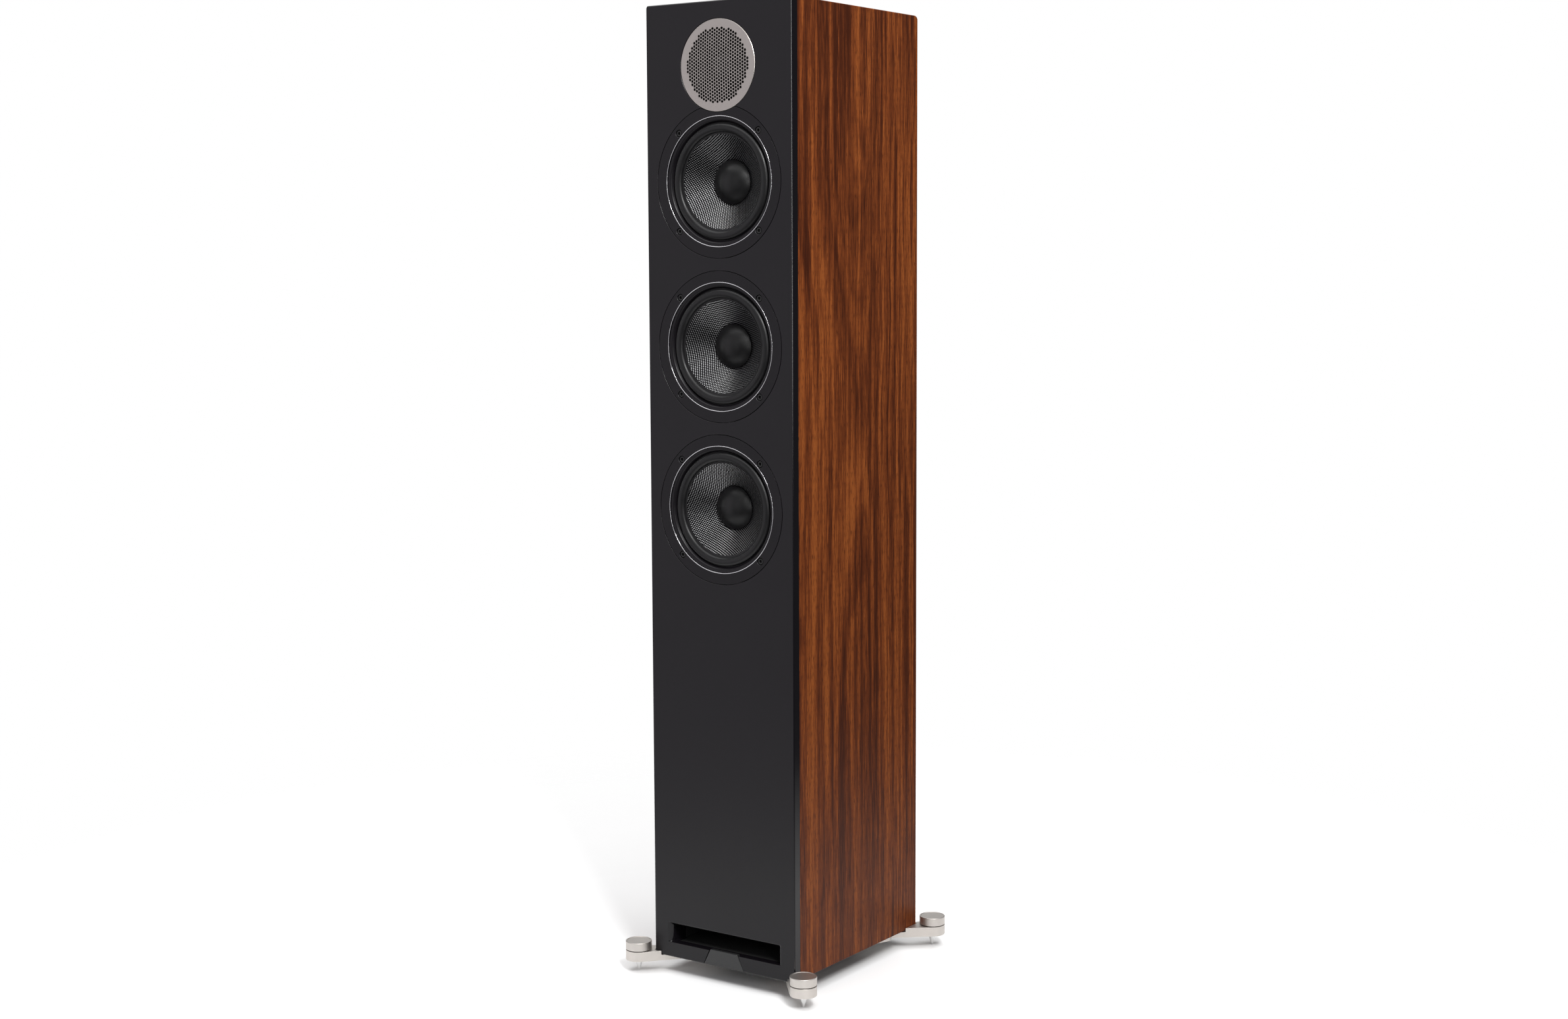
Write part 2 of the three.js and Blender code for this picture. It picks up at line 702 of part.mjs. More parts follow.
function foot(name, x, y) {
  const { tip, cone: coneRadius, coneHeight, collar, stud, top } = SPIKE;
  const angle = THREE.MathUtils.degToRad(y < 0 ? ARM_ANGLE.front : ARM_ANGLE.rear);
  const turn = Math.atan2(-Math.sign(y) * Math.sin(angle), -Math.sign(x) * Math.cos(angle));
  addPiece(`arm_${name}`, arm(x, y, turn), satinNickel);
  const collarTop = ARM.bottom - GAP;
  const spike = [
    [0, 0],
    [tip, 0],
    [coneRadius, coneHeight],
    [collar, coneHeight],
    [collar, collarTop],
    [stud, collarTop],
    [stud, top],
    [0, top],
  ];
  addPiece(`spike_${name}`, upright(spike, FACETS.small), polished, [x, y, 0]);
  const socket = stud + GAP;
  const knob = [
    [0, top + GAP],
    [socket, top + GAP],
    [socket, KNOB.bottom],
    [FOOT.radius, KNOB.bottom],
    [FOOT.radius, KNOB.top - KNOB.edge],
    [FOOT.radius - KNOB.edge, KNOB.top],
    [0, KNOB.top],
  ];
  addPiece(`knob_${name}`, upright(knob, FACETS.ring), satinNickel, [x, y, 0]);
}

// ---------------------------------------------------------------- assembly
const [zUpper, zMiddle, zLower] = Object.values(DRIVER_HEIGHTS).map((h) => zBase + h);
addPiece('front_baffle', frontBaffle(), satinBlack);
addPiece('side_panel_left', sidePanel(-1), walnut);
addPiece('side_panel_right', sidePanel(1), walnut);
addPiece('top_panel', topPanel(), walnut);
addPiece('bottom_panel', bottomPanel(), satinBlack);
addPiece('back_panel', backPanel(), walnut);
addPiece('chamber_partition', shelf((zUpper + zMiddle) / 2, false), rawBoard);
addPiece('upper_brace', shelf((zMiddle + zLower) / 2, true), rawBoard);
addPiece('lower_brace', shelf(zLower - 110, true), rawBoard);
addPiece('port_shelf', portShelf(), rawBoard);
addPiece('damping_pad', dampingPad((zMiddle + zLower) / 2, (zUpper + zMiddle) / 2), felt);
addPiece('name_badge', nameBadge(), blackPlastic);
for (const [name, height] of Object.entries(DRIVER_HEIGHTS)) driver(name, height);
tweeter();
terminals();
crossover();
for (const [name, x, y] of [
  ['front_left', -FOOT.x, -FOOT.y],
  ['front_right', FOOT.x, -FOOT.y],
  ['rear_left', -FOOT.x, FOOT.y],
  ['rear_right', FOOT.x, FOOT.y],
]) {
  foot(name, x, y);
}

export default speaker;
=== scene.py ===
import json
import math

import bmesh
import bpy
from mathutils import Matrix, Vector
from mathutils.geometry import delaunay_2d_cdt
from mathutils.kdtree import KDTree

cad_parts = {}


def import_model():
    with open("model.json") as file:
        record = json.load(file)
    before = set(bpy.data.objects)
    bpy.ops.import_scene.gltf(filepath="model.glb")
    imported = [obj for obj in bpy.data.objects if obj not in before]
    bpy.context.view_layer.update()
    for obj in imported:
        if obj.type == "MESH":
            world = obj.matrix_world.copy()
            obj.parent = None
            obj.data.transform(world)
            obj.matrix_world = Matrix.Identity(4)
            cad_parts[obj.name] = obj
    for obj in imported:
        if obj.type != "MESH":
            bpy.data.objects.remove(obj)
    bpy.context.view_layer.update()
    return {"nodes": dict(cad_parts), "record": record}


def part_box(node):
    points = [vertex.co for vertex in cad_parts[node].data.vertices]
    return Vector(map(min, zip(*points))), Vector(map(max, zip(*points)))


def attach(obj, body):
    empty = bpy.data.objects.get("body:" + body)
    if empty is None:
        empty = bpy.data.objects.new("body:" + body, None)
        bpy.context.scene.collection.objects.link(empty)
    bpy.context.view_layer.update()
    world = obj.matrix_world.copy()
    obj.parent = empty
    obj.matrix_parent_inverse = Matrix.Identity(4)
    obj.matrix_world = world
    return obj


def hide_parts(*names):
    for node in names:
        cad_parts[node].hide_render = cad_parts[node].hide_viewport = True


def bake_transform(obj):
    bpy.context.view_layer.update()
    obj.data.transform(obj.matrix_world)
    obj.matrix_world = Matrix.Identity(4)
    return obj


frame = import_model()
nodes = frame["nodes"]

# Shapes are worked out in millimetres of the CAD's frame and written out in metres.
MM = 0.001
CORNERS = ("front_left", "front_right", "rear_left", "rear_right")
DRIVERS = ("upper", "middle", "lower")

GAP = 0.3  # between boards that meet
SEAM = 0.6  # round a flange in its rebate
FLANGE_RADIUS, DRIVER_BORE = 79.7, 66.6
TWEETER_RADIUS, TWEETER_BORE = 47.8, 34.4
SCREW_CIRCLE = 72.6
SCREW_TURNS = [math.radians(45 + 90 * k) for k in range(4)]
TONGUE = {"above_foot": 16.5, "below_top": 19.5}
SLOT = {"half": 68.0, "low": 16.5, "high": 36.3, "swell": 8.5, "reach": 20.0, "roof": 3.6,
        "roof_reach": 6.0, "corner": 1.6, "end": 26.0}
BADGE = {"foot": 27.1, "head": 18.2, "height": 18.1, "depth": 4.7}
CUP_PLATE = {"half": 56, "rise": 41}
CUP_BODY = {"half": 45, "rise": 30}
CUP_WELL = {"half": 42, "rise": 27}
POST_OFFSET = 19


# -------- where the parts are
def box_mm(node):
    low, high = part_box(node)
    return low / MM, high / MM


def centre_mm(node):
    low, high = box_mm(node)
    return (low + high) / 2


BAFFLE_LOW, BAFFLE_HIGH = box_mm("front_baffle")
FRONT = BAFFLE_LOW.y
SIDE_LOW, SIDE_HIGH = box_mm("side_panel_right")
BACK_LOW, BACK_HIGH = box_mm("back_panel")
TWEETER = Vector((0, FRONT, centre_mm("tweeter_grille").z))
DRIVER_CENTRE = {name: Vector((0, FRONT, centre_mm(f"{name}_cone").z)) for name in DRIVERS}
FOOT_CENTRE = {corner: centre_mm(f"knob_{corner}") * Vector((1, 1, 0)) for corner in CORNERS}
CUP = Vector((0, 0, centre_mm("terminal_cup").z))


# -------- solids as (points, faces)
def rounded(points, steps=4):
    """An outline in which a corner with a third number is rounded by that radius."""
    result = []
    for i, point in enumerate(points):
        here = Vector(point[:2])
        if len(point) == 2:
            result.append((here.x, here.y))
            continue
        back = Vector(points[i - 1][:2]) - here
        ahead = Vector(points[(i + 1) % len(points)][:2]) - here
        reach = point[2] / math.tan(back.angle(ahead) / 2)
        reach = min(reach, 0.48 * back.length, 0.48 * ahead.length)
        start = here + back.normalized() * reach
        end = here + ahead.normalized() * reach
        for k in range(steps + 1):
            t = k / steps
            spot = start.lerp(here, t).lerp(here.lerp(end, t), t)
            result.append((spot.x, spot.y))
    return result


def lathe(profile, centre=(0, 0, 0), axis="Y", segments=96, ripple=None):
    """A solid turned about an axis through centre. Profile points are (radius, distance along
    the axis); ripple(radius, angle) may change a radius around the turn."""
    points, faces, rings = [], [], []
    for radius, along in profile:
        ring = []
        for i in range(1 if radius == 0 else segments):
            angle = 2 * math.pi * i / segments
            r = ripple(radius, angle) if ripple and radius else radius
            across, up = r * math.cos(angle), r * math.sin(angle)
            ring.append(len(points))
            spot = (across, along, up) if axis == "Y" else (across, up, along)
            points.append(Vector(centre) + Vector(spot))
        rings.append(ring)
    closes = profile[0][0] == 0 and profile[-1][0] == 0
    for a, b in zip(rings, rings[1:] + ([] if closes else rings[:1])):
        for i in range(segments):
            j = (i + 1) % segments
            face = [a[i % len(a)], a[j % len(a)], b[j % len(b)], b[i % len(b)]]
            face = list(dict.fromkeys(face))
            if len(face) > 2:
                faces.append(face)
    return points, faces


def loft(loops, closed=True):
    """A skin through loops that have the same number of points, closed at both ends or open."""
    count = len(loops[0])
    points = [Vector(p) for loop in loops for p in loop]
    ends = [list(range(count))[::-1], list(range(len(points) - count, len(points)))]
    faces = ends if closed else []
    for k in range(len(loops) - 1):
        for i in range(count):
            j = (i + 1) % count
            here, above = k * count, (k + 1) * count
            faces.append([here + i, here + j, above + j, above + i])
    return points, faces


def prism(outline, start, end, axis="Y"):
    """An outline of (x, z) points pushed along Y, or of (x, y) points pushed along Z."""
    if axis == "Y":
        return loft([[(a, at, b) for a, b in outline] for at in (start, end)])
    return loft([[(a, b, at) for a, b in outline] for at in (start, end)])


def block(x0, x1, y0, y1, z0, z1):
    return prism([(x0, z0), (x1, z0), (x1, z1), (x0, z1)], y0, y1)


def moved(solid, offset=(0, 0, 0), turn=0, axis="Z"):
    matrix = Matrix.Translation(offset) @ Matrix.Rotation(turn, 4, axis)
    return [matrix @ p for p in solid[0]], solid[1]


def together(solids):
    points, faces = [], []
    for more_points, more_faces in solids:
        faces += [[len(points) + i for i in face] for face in more_faces]
        points += more_points
    return points, faces


def rounded_rectangle(half, low, high, radius, steps=6):
    corners = ((-half, low), (half, low), (half, high), (-half, high))
    return rounded([(x, z, radius) for x, z in corners], steps)


def drawn_in(half, low, high, corner, rows, steps=6, shrink=1):
    """Loops of a rounded rectangle across Y, one at each (depth, inset); its corners are
    shrunk with the inset, or not where shrink is 0."""
    loops = []
    for depth, inset in rows:
        radius = corner - shrink * inset
        outline = rounded_rectangle(half - inset, low + inset, high - inset, radius, steps)
        loops.append([(x, depth, z) for x, z in outline])
    return loops


def quarter(radius, run):
    """How far a quarter round has turned away, run millimetres past where it starts."""
    return radius - math.sqrt(max(0.0, radius * radius - max(0.0, run) ** 2))


def dome(radius, height, rim, steps):
    """Profile points of a shallow dome, from its tip to its edge at the depth rim."""
    ball = (radius ** 2 + height ** 2) / (2 * height)
    radii = [radius * k / steps for k in range(steps + 1)]
    return [(r, rim - height + ball - math.sqrt(ball * ball - r * r)) for r in radii]


def thread(start, end, crest, root, rise, pitch):
    """Profile points of a thread: a crest every pitch, and a root a rise behind it."""
    points = []
    while start < end:
        points += [(crest, start), (root, start + rise)]
        start += pitch
    return points


# -------- objects
def bmesh_of(obj):
    shape = bmesh.new()
    shape.from_mesh(obj.data)
    return shape


def write_back(shape, obj):
    shape.to_mesh(obj.data)
    shape.free()


def weld(obj, reach):
    """Joins points that lie within reach metres and turns every face outwards."""
    shape = bmesh_of(obj)
    bmesh.ops.remove_doubles(shape, verts=shape.verts, dist=reach)
    bmesh.ops.recalc_face_normals(shape, faces=shape.faces)
    write_back(shape, obj)


def scene_object(name, data):
    obj = bpy.data.objects.new(name, data)
    bpy.context.scene.collection.objects.link(obj)
    return obj


def bare_object(name, solid):
    mesh = bpy.data.meshes.new(name)
    mesh.from_pydata([p * MM for p in solid[0]], [], solid[1])
    return scene_object(name, mesh)


def mesh_object(name, solid):
    obj = bare_object(name, solid)
    weld(obj, 1e-7)
    return obj


def modify(obj, kind, **settings):
    """Gives an object a modifier and applies it."""
    modifier = obj.modifiers.new(kind, kind)
    for key, value in settings.items():
        setattr(modifier, key, value)
    graph = bpy.context.evaluated_depsgraph_get()
    mesh = bpy.data.meshes.new_from_object(obj.evaluated_get(graph))
    obj.modifiers.clear()
    obj.data = mesh


def combine(obj, solid, operation="DIFFERENCE"):
    """Cuts a solid out of an object, or joins it on, or keeps only what lies in it."""
    tool = mesh_object("tool", solid)
    modify(obj, "BOOLEAN", operation=operation, solver="EXACT", object=tool)
    bpy.data.objects.remove(tool)


def break_edges(obj, width, segments):
    """Rounds every sharp edge a little."""
    modify(obj, "BEVEL", width=width * MM, segments=segments, limit_method="ANGLE",
           angle_limit=math.radians(38), use_clamp_overlap=True)


def shade(obj, angle):
    """Smooth shading, broken at edges sharper than an angle."""
    obj.data.polygons.foreach_set("use_smooth", [True] * len(obj.data.polygons))
    obj.data.set_sharp_from_angle(angle=math.radians(angle))


def smooth(obj, angle=34):
    """Smooth shading that keeps flats flat and true edges sharp."""
    shade(obj, angle)
    modify(obj, "WEIGHTED_NORMAL", keep_sharp=True)


def place(obj, body, slot, *replaced, finish=None):
    """Gives a finished piece its material and lets it ride on its body."""
    obj.data.materials.clear()
    obj.data.materials.append(finish or FINISH[slot])
    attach(obj, body)
    if replaced:
        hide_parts(*replaced)


def piece(name, solid, body, slot, *replaced, angle=34, finish=None):
    """A piece that is done once its solid is made."""
    obj = mesh_object(name, solid)
    smooth(obj, angle)
    place(obj, body, slot, *replaced, finish=finish)


# -------- node materials
class Finish:
    """A node material with its texture places in millimetres of the CAD's frame."""

    def __init__(self, name, base=None, **sockets):
        self.material = bpy.data.materials.new(name)
        self.material.use_nodes = True
        self.tree = self.material.node_tree
        self.shader = self.tree.nodes["Principled BSDF"]
        if base:
            self.shader.inputs["Base Color"].default_value = (*base, 1)
        for socket, value in sockets.items():
            self.shader.inputs[socket.replace("_", " ")].default_value = value
        where = self.node("ShaderNodeTexCoord").outputs["Object"]
        self.place = self.vector("SCALE", where, Scale=1 / MM)
        parts = self.node("ShaderNodeSeparateXYZ", Vector=self.place)
        self.x, self.y, self.z = parts.outputs

    def node(self, kind, settings=(), **inputs):
        made = self.tree.nodes.new(kind)
        for key, value in dict(settings).items():
            setattr(made, key, value)
        for key, value in inputs.items():
            self.feed(made.inputs[key.replace("_", " ")], value)
        return made

    def feed(self, socket, value):
        if isinstance(value, bpy.types.NodeSocket):
            self.tree.links.new(value, socket)
        else:
            socket.default_value = value

    def chained(self, kind, settings, values, **named):
        """A node whose first inputs take the values in turn."""
        made = self.node(kind, settings, **named)
        for socket, value in zip(made.inputs, values):
            self.feed(socket, value)
        return made.outputs

    def vector(self, operation, *values, **named):
        return self.chained("ShaderNodeVectorMath", {"operation": operation}, values, **named)[0]

    def math(self, operation, *values):
        return self.chained("ShaderNodeMath", {"operation": operation}, values)[0]

    def length(self, value):
        return self.chained("ShaderNodeVectorMath", {"operation": "LENGTH"}, [value])["Value"]

    def wave(self, value, half_length):
        """A sine along value that rises and falls within half_length millimetres."""
        return self.math("SINE", self.math("MULTIPLY", value, math.pi / half_length))

    def combine(self, x, y, z):
        return self.node("ShaderNodeCombineXYZ", X=x, Y=y, Z=z).outputs[0]

    def noise(self, size, detail=2.0, stretch=(1, 1, 1), where=None, seed=0.0, rough=0.5):
        """Noise whose features are about size millimetres, stretched along the axes."""
        spread = self.vector("DIVIDE", where or self.place, tuple(size * s for s in stretch))
        spot = self.vector("ADD", spread, (seed, seed * 1.7, seed * 0.6))
        inputs = {"Vector": spot, "Scale": 1.0, "Detail": detail, "Roughness": rough}
        return self.node("ShaderNodeTexNoise", **inputs).outputs[0]

    def grain(self, u, v, width, length, seed, detail=1, rough=0.5):
        """Noise drawn out along v: width and length are its grain in millimetres."""
        spot = self.combine(self.math("DIVIDE", u, width), self.math("DIVIDE", v, length), seed)
        return self.noise(1, detail, where=spot, rough=rough)

    def weighted(self, *terms):
        """The sum of noises about their middle, each by its weight, centred on a half."""
        total = 0.5
        for value, weight in terms:
            part = self.math("MULTIPLY_ADD", value, weight, -0.5 * weight)
            total = self.math("ADD", part, total)
        return total

    def ramp(self, factor, stops):
        made = self.node("ShaderNodeValToRGB", Fac=factor)
        band = made.color_ramp.elements
        while len(band) < len(stops):
            band.new(0.5)
        for element, (at, colour) in zip(band, stops):
            element.position = at
            element.color = (*colour, 1)
        return made.outputs[0]

    def spread(self, factor, low, high, low_to, high_to):
        """A value moved from one range to another, and held inside it."""
        values = (factor, low, high, low_to, high_to)
        return self.chained("ShaderNodeMapRange", {"clamp": True}, values)[0]

    def mix(self, factor, a, b):
        """The colour a where the factor is 0, and b where it is 1."""
        made = self.node("ShaderNodeMix", {"data_type": "RGBA"})
        for index, value in ((0, factor), (6, a), (7, b)):
            self.feed(made.inputs[index], (*value, 1) if isinstance(value, tuple) else value)
        return made.outputs[2]

    def tones(self, factor, base, darker, lighter):
        """A base colour that wanders between two multiples of itself."""
        self.colour(self.mix(factor, shaded(base, darker), shaded(base, lighter)))

    def colour(self, value):
        self.feed(self.shader.inputs["Base Color"], value)

    def roughness(self, value):
        self.feed(self.shader.inputs["Roughness"], value)

    def gloss(self, factor, low, high):
        """Roughness that follows a noise, from low to high."""
        self.roughness(self.spread(factor, 0.3, 0.7, low, high))

    def bump(self, height, depth, strength=1.0):
        """Height from 0 to 1 stands depth millimetres out of the surface."""
        made = self.node("ShaderNodeBump", Height=height, Strength=strength, Distance=depth * MM)
        self.feed(self.shader.inputs["Normal"], made.outputs[0])


def shaded(colour, factor):
    return tuple(c * factor for c in colour)


def plain_finish(name, base, rough, grain, depth, **sockets):
    """A moulded, painted or cast surface: fine grain, slight unevenness of tone and gloss."""
    made = Finish(name, base, **sockets)
    cloud = made.noise(38, 3)
    fine = made.noise(grain, 2, seed=3)
    made.tones(cloud, base, 0.9, 1.1)
    made.gloss(cloud, rough - 0.04, rough + 0.04)
    made.bump(fine, depth)
    return made.material


def lacquered_black():
    made = Finish("baffle lacquer", Specular_IOR_Level=0.28)
    cloud = made.noise(70, 3)
    peel = made.noise(1.7, 3, seed=5)
    dust = made.spread(made.noise(0.5, 1, seed=9), 0.72, 0.82, 0, 1)
    base = made.mix(cloud, (0.0050, 0.0041, 0.0056), (0.0060, 0.0050, 0.0067))
    made.colour(made.mix(made.math("MULTIPLY", dust, 0.25), base, (0.05, 0.05, 0.053)))
    # the arris and the sides are polished brighter than the sprayed front
    behind = made.spread(made.y, FRONT + 0.04, FRONT + 0.12, 0, 0.15)
    made.roughness(made.math("SUBTRACT", made.spread(cloud, 0.3, 0.7, 0.28, 0.33), behind))
    made.bump(peel, 0.006)
    return made.material


WOOD_DARK = (0.052, 0.0120, 0.0044)
WOOD_BROWN = (0.120, 0.0285, 0.0082)
WOOD_RED = (0.190, 0.0460, 0.0115)
WOOD_LIGHT = (0.315, 0.0870, 0.0200)


def walnut(name, across, along, heart, seed, fold=None, rough=0.46):
    """Crown-cut veneer. The growth rings show as bands that close to points along a heart
    line, heart millimetres across the sheet; across and along name its axes. Over the edge
    where it folds, the sheet runs on along the fold's axis."""
    made = Finish(name, Specular_IOR_Level=0.12)
    axes = {"x": made.x, "y": made.y, "z": made.z}
    u, v = axes[across], axes[along]
    if fold:
        axis, edge = fold
        u = made.math("ADD", u, made.math("SUBTRACT", edge, made.math("ABSOLUTE", axes[axis])))
    sway = made.noise(1, 1, where=made.combine(0, made.math("DIVIDE", v, 260), seed))
    sway = made.spread(sway, 0.25, 0.75, -6, 6)
    offset = made.math("ADD", made.math("SUBTRACT", u, heart), sway)
    lean = made.math("MULTIPLY", offset, 0.72)
    reach = made.math("MULTIPLY_ADD", made.math("ABSOLUTE", offset), 1.28, lean)
    # the height of the cut above the heart, greatest at the waist of the figure
    turn = made.math("MULTIPLY", made.math("SUBTRACT", v, 640), math.pi / 350)
    turn = made.math("MAXIMUM", turn, -math.pi)
    rise = made.math("MULTIPLY_ADD", made.math("COSINE", turn), 15, 23)
    squares = (made.math("POWER", reach, 2), made.math("POWER", rise, 2))
    ring = made.math("SQRT", made.math("ADD", *squares))
    ring = made.math("ADD", ring, made.spread(made.grain(u, v, 26, 190, seed, 2), 0.2, 0.8, -4, 4))
    band = made.grain(u, v, 17, 900, seed + 5)
    wide = made.grain(ring, v, 18, 700, seed)
    narrow = made.grain(ring, v, 4.4, 500, seed + 4)
    streak = made.grain(u, v, 4.6, 700, seed + 7, 3, 0.6)
    fibre = made.grain(u, v, 0.75, 34, seed + 9, 2)
    tone = made.weighted((band, 0.54), (wide, 0.66), (narrow, 0.34), (streak, 0.58), (fibre, 0.74))
    # a few long pale threads run the whole length of the sheet
    pale = made.grain(made.math("SUBTRACT", u, sway), v, 7, 1500, seed + 12)
    tone = made.math("ADD", tone, made.spread(pale, 0.56, 0.66, 0, 0.11))
    stops = [(0.33, WOOD_DARK), (0.45, WOOD_BROWN), (0.55, WOOD_RED), (0.67, WOOD_LIGHT)]
    pore = made.spread(made.grain(u, v, 0.6, 9, seed + 2), 0.56, 0.68, 0, 0.8)
    made.colour(made.mix(pore, made.ramp(tone, stops), WOOD_DARK))
    made.gloss(fibre, rough + 0.04, rough - 0.04)
    made.bump(made.math("SUBTRACT", fibre, made.math("MULTIPLY", pore, 0.8)), 0.05, 0.6)
    return made.material


def woven(angle, centre):
    """Plain weave under a clear coat, its yarns turned by an angle: silver warp, and weft drawn
    black as painted shade for yarn turned away from the light.
    """
    made = Finish("woven cone", Metallic=1.0)
    pitch = 1.31
    cos, sin = math.cos(angle), math.sin(angle)
    x, z = made.x, made.math("SUBTRACT", made.z, centre.z)

    def turned(a, b):
        return made.math("ADD", made.math("MULTIPLY", x, a), made.math("MULTIPLY", z, b))

    jitter = made.spread(made.noise(4, 2), 0.3, 0.7, -0.16, 0.16)
    warp = made.math("ADD", turned(cos, sin), jitter)
    weft = made.math("SUBTRACT", turned(-sin, cos), jitter)
    over = made.math("MULTIPLY", made.wave(warp, pitch), made.wave(weft, pitch))
    strands = made.noise(0.22, 2, seed=7)
    # painted shade: cells where the weft lies on top are drawn black, as yarn turned away from the
    # light
    light = made.spread(over, 0.30, 0.60, 0, 1)
    silver = made.mix(strands, (0.26, 0.26, 0.265), (0.70, 0.70, 0.71))
    made.colour(made.mix(light, (0.004, 0.004, 0.0045), silver))
    made.roughness(made.spread(light, 0, 1, 0.50, 0.38))
    made.bump(made.math("ABSOLUTE", over), 0.05, 0.5)
    return made.material


def rubber(name, base, rough):
    made = Finish(name, base, Specular_IOR_Level=0.32)
    cloud = made.noise(9, 3)
    made.tones(cloud, base, 0.85, 1.2)
    made.gloss(cloud, rough - 0.05, rough + 0.05)
    made.bump(made.noise(0.4, 2, seed=2), 0.012)
    return made.material


def satin_metal(name, base, rough):
    """Plated metal with a fine satin grain."""
    made = Finish(name, base, Metallic=1.0)
    grain = made.noise(0.5, 3, seed=1)
    cloud = made.noise(24, 2, seed=6)
    tone = made.math("MULTIPLY_ADD", grain, 0.5, made.math("MULTIPLY", cloud, 0.5))
    made.tones(tone, base, 0.94, 1.06)
    made.gloss(grain, rough - 0.05, rough + 0.06)
    made.bump(grain, 0.012)
    return made.material


def spun_metal(name, base, rough):
    """Metal turned on a lathe: fine rings about the upright axis of the nearest foot."""
    made = Finish(name, base, Metallic=1.0)
    radius = None
    for corner in CORNERS:
        away = made.vector("SUBTRACT", made.place, tuple(FOOT_CENTRE[corner]))
        reach = made.length(made.vector("MULTIPLY", away, (1, 1, 0)))
        radius = made.math("MINIMUM", radius, reach) if radius else reach
    rings = made.noise(1, 2, where=made.combine(made.math("DIVIDE", radius, 0.22), 0, 0))
    cloud = made.noise(16, 2, seed=4)
    made.tones(cloud, base, 0.92, 1.05)
    made.gloss(rings, rough - 0.06, rough + 0.07)
    made.bump(rings, 0.014)
    return made.material


def cast_metal(name, base, rough):
    made = Finish(name, base, Metallic=1.0)
    pits = made.noise(0.9, 4, seed=8)
    cloud = made.noise(18, 3)
    made.tones(cloud, base, 0.92, 1.06)
    made.gloss(pits, rough - 0.05, rough + 0.07)
    made.bump(pits, 0.03, 0.8)
    return made.material


def polished_metal(name, base):
    made = Finish(name, base, Metallic=1.0)
    smear = made.noise(7, 3)
    made.tones(smear, base, 0.96, 1.03)
    made.gloss(smear, 0.07, 0.13)
    return made.material


def fibreboard():
    made = Finish("raw fibreboard", Specular_IOR_Level=0.2)
    chips = made.noise(1.3, 4)
    dust = made.noise(26, 2, seed=3)
    made.colour(made.mix(chips, (0.34, 0.23, 0.13), (0.52, 0.38, 0.23)))
    made.gloss(dust, 0.82, 0.95)
    made.bump(chips, 0.08)
    return made.material


def cloth(name, light, dark, pitch):
    """A plain weave seen from the front, for the spiders and the silk dome."""
    made = Finish(name, Specular_IOR_Level=0.25)
    crossing = made.math("MULTIPLY", made.wave(made.x, pitch), made.wave(made.z, pitch))
    over = made.spread(crossing, -0.4, 0.4, 0, 1)
    stain = made.noise(11, 3)
    made.colour(made.mix(made.math("MULTIPLY", over, stain), dark, light))
    made.gloss(stain, 0.72, 0.88)
    made.bump(over, 0.06)
    return made.material


def wadding():
    made = Finish("polyester wadding", Sheen_Weight=0.4, Sheen_Roughness=0.6)
    tufts = made.noise(6, 5, rough=0.7)
    made.colour(made.mix(tufts, (0.55, 0.54, 0.51), (0.84, 0.83, 0.80)))
    made.gloss(tufts, 0.9, 1.0)
    made.bump(tufts, 1.2)
    return made.material


def wound_copper():
    made = Finish("enamelled copper", Metallic=1.0)
    tone = made.spread(made.wave(made.y, 0.55), -1, 1, 0, 1)
    # painted shade and highlight: each wire turn is darker in the groove between turns and lighter
    # on its crest, from the same wave as the bump
    made.colour(made.mix(tone, (0.30, 0.10, 0.04), (0.74, 0.36, 0.18)))
    made.gloss(made.noise(3, 2), 0.28, 0.42)
    made.bump(tone, 0.3)
    return made.material


def printed_board():
    made = Finish("circuit board")
    tracks = made.spread(made.noise(5, 0, (1, 1, 3), seed=4), 0.50, 0.52, 0, 1)
    made.colour(made.mix(tracks, (0.02, 0.10, 0.045), (0.05, 0.19, 0.09)))
    made.gloss(made.noise(2, 2), 0.34, 0.5)
    made.bump(tracks, 0.03)
    return made.material


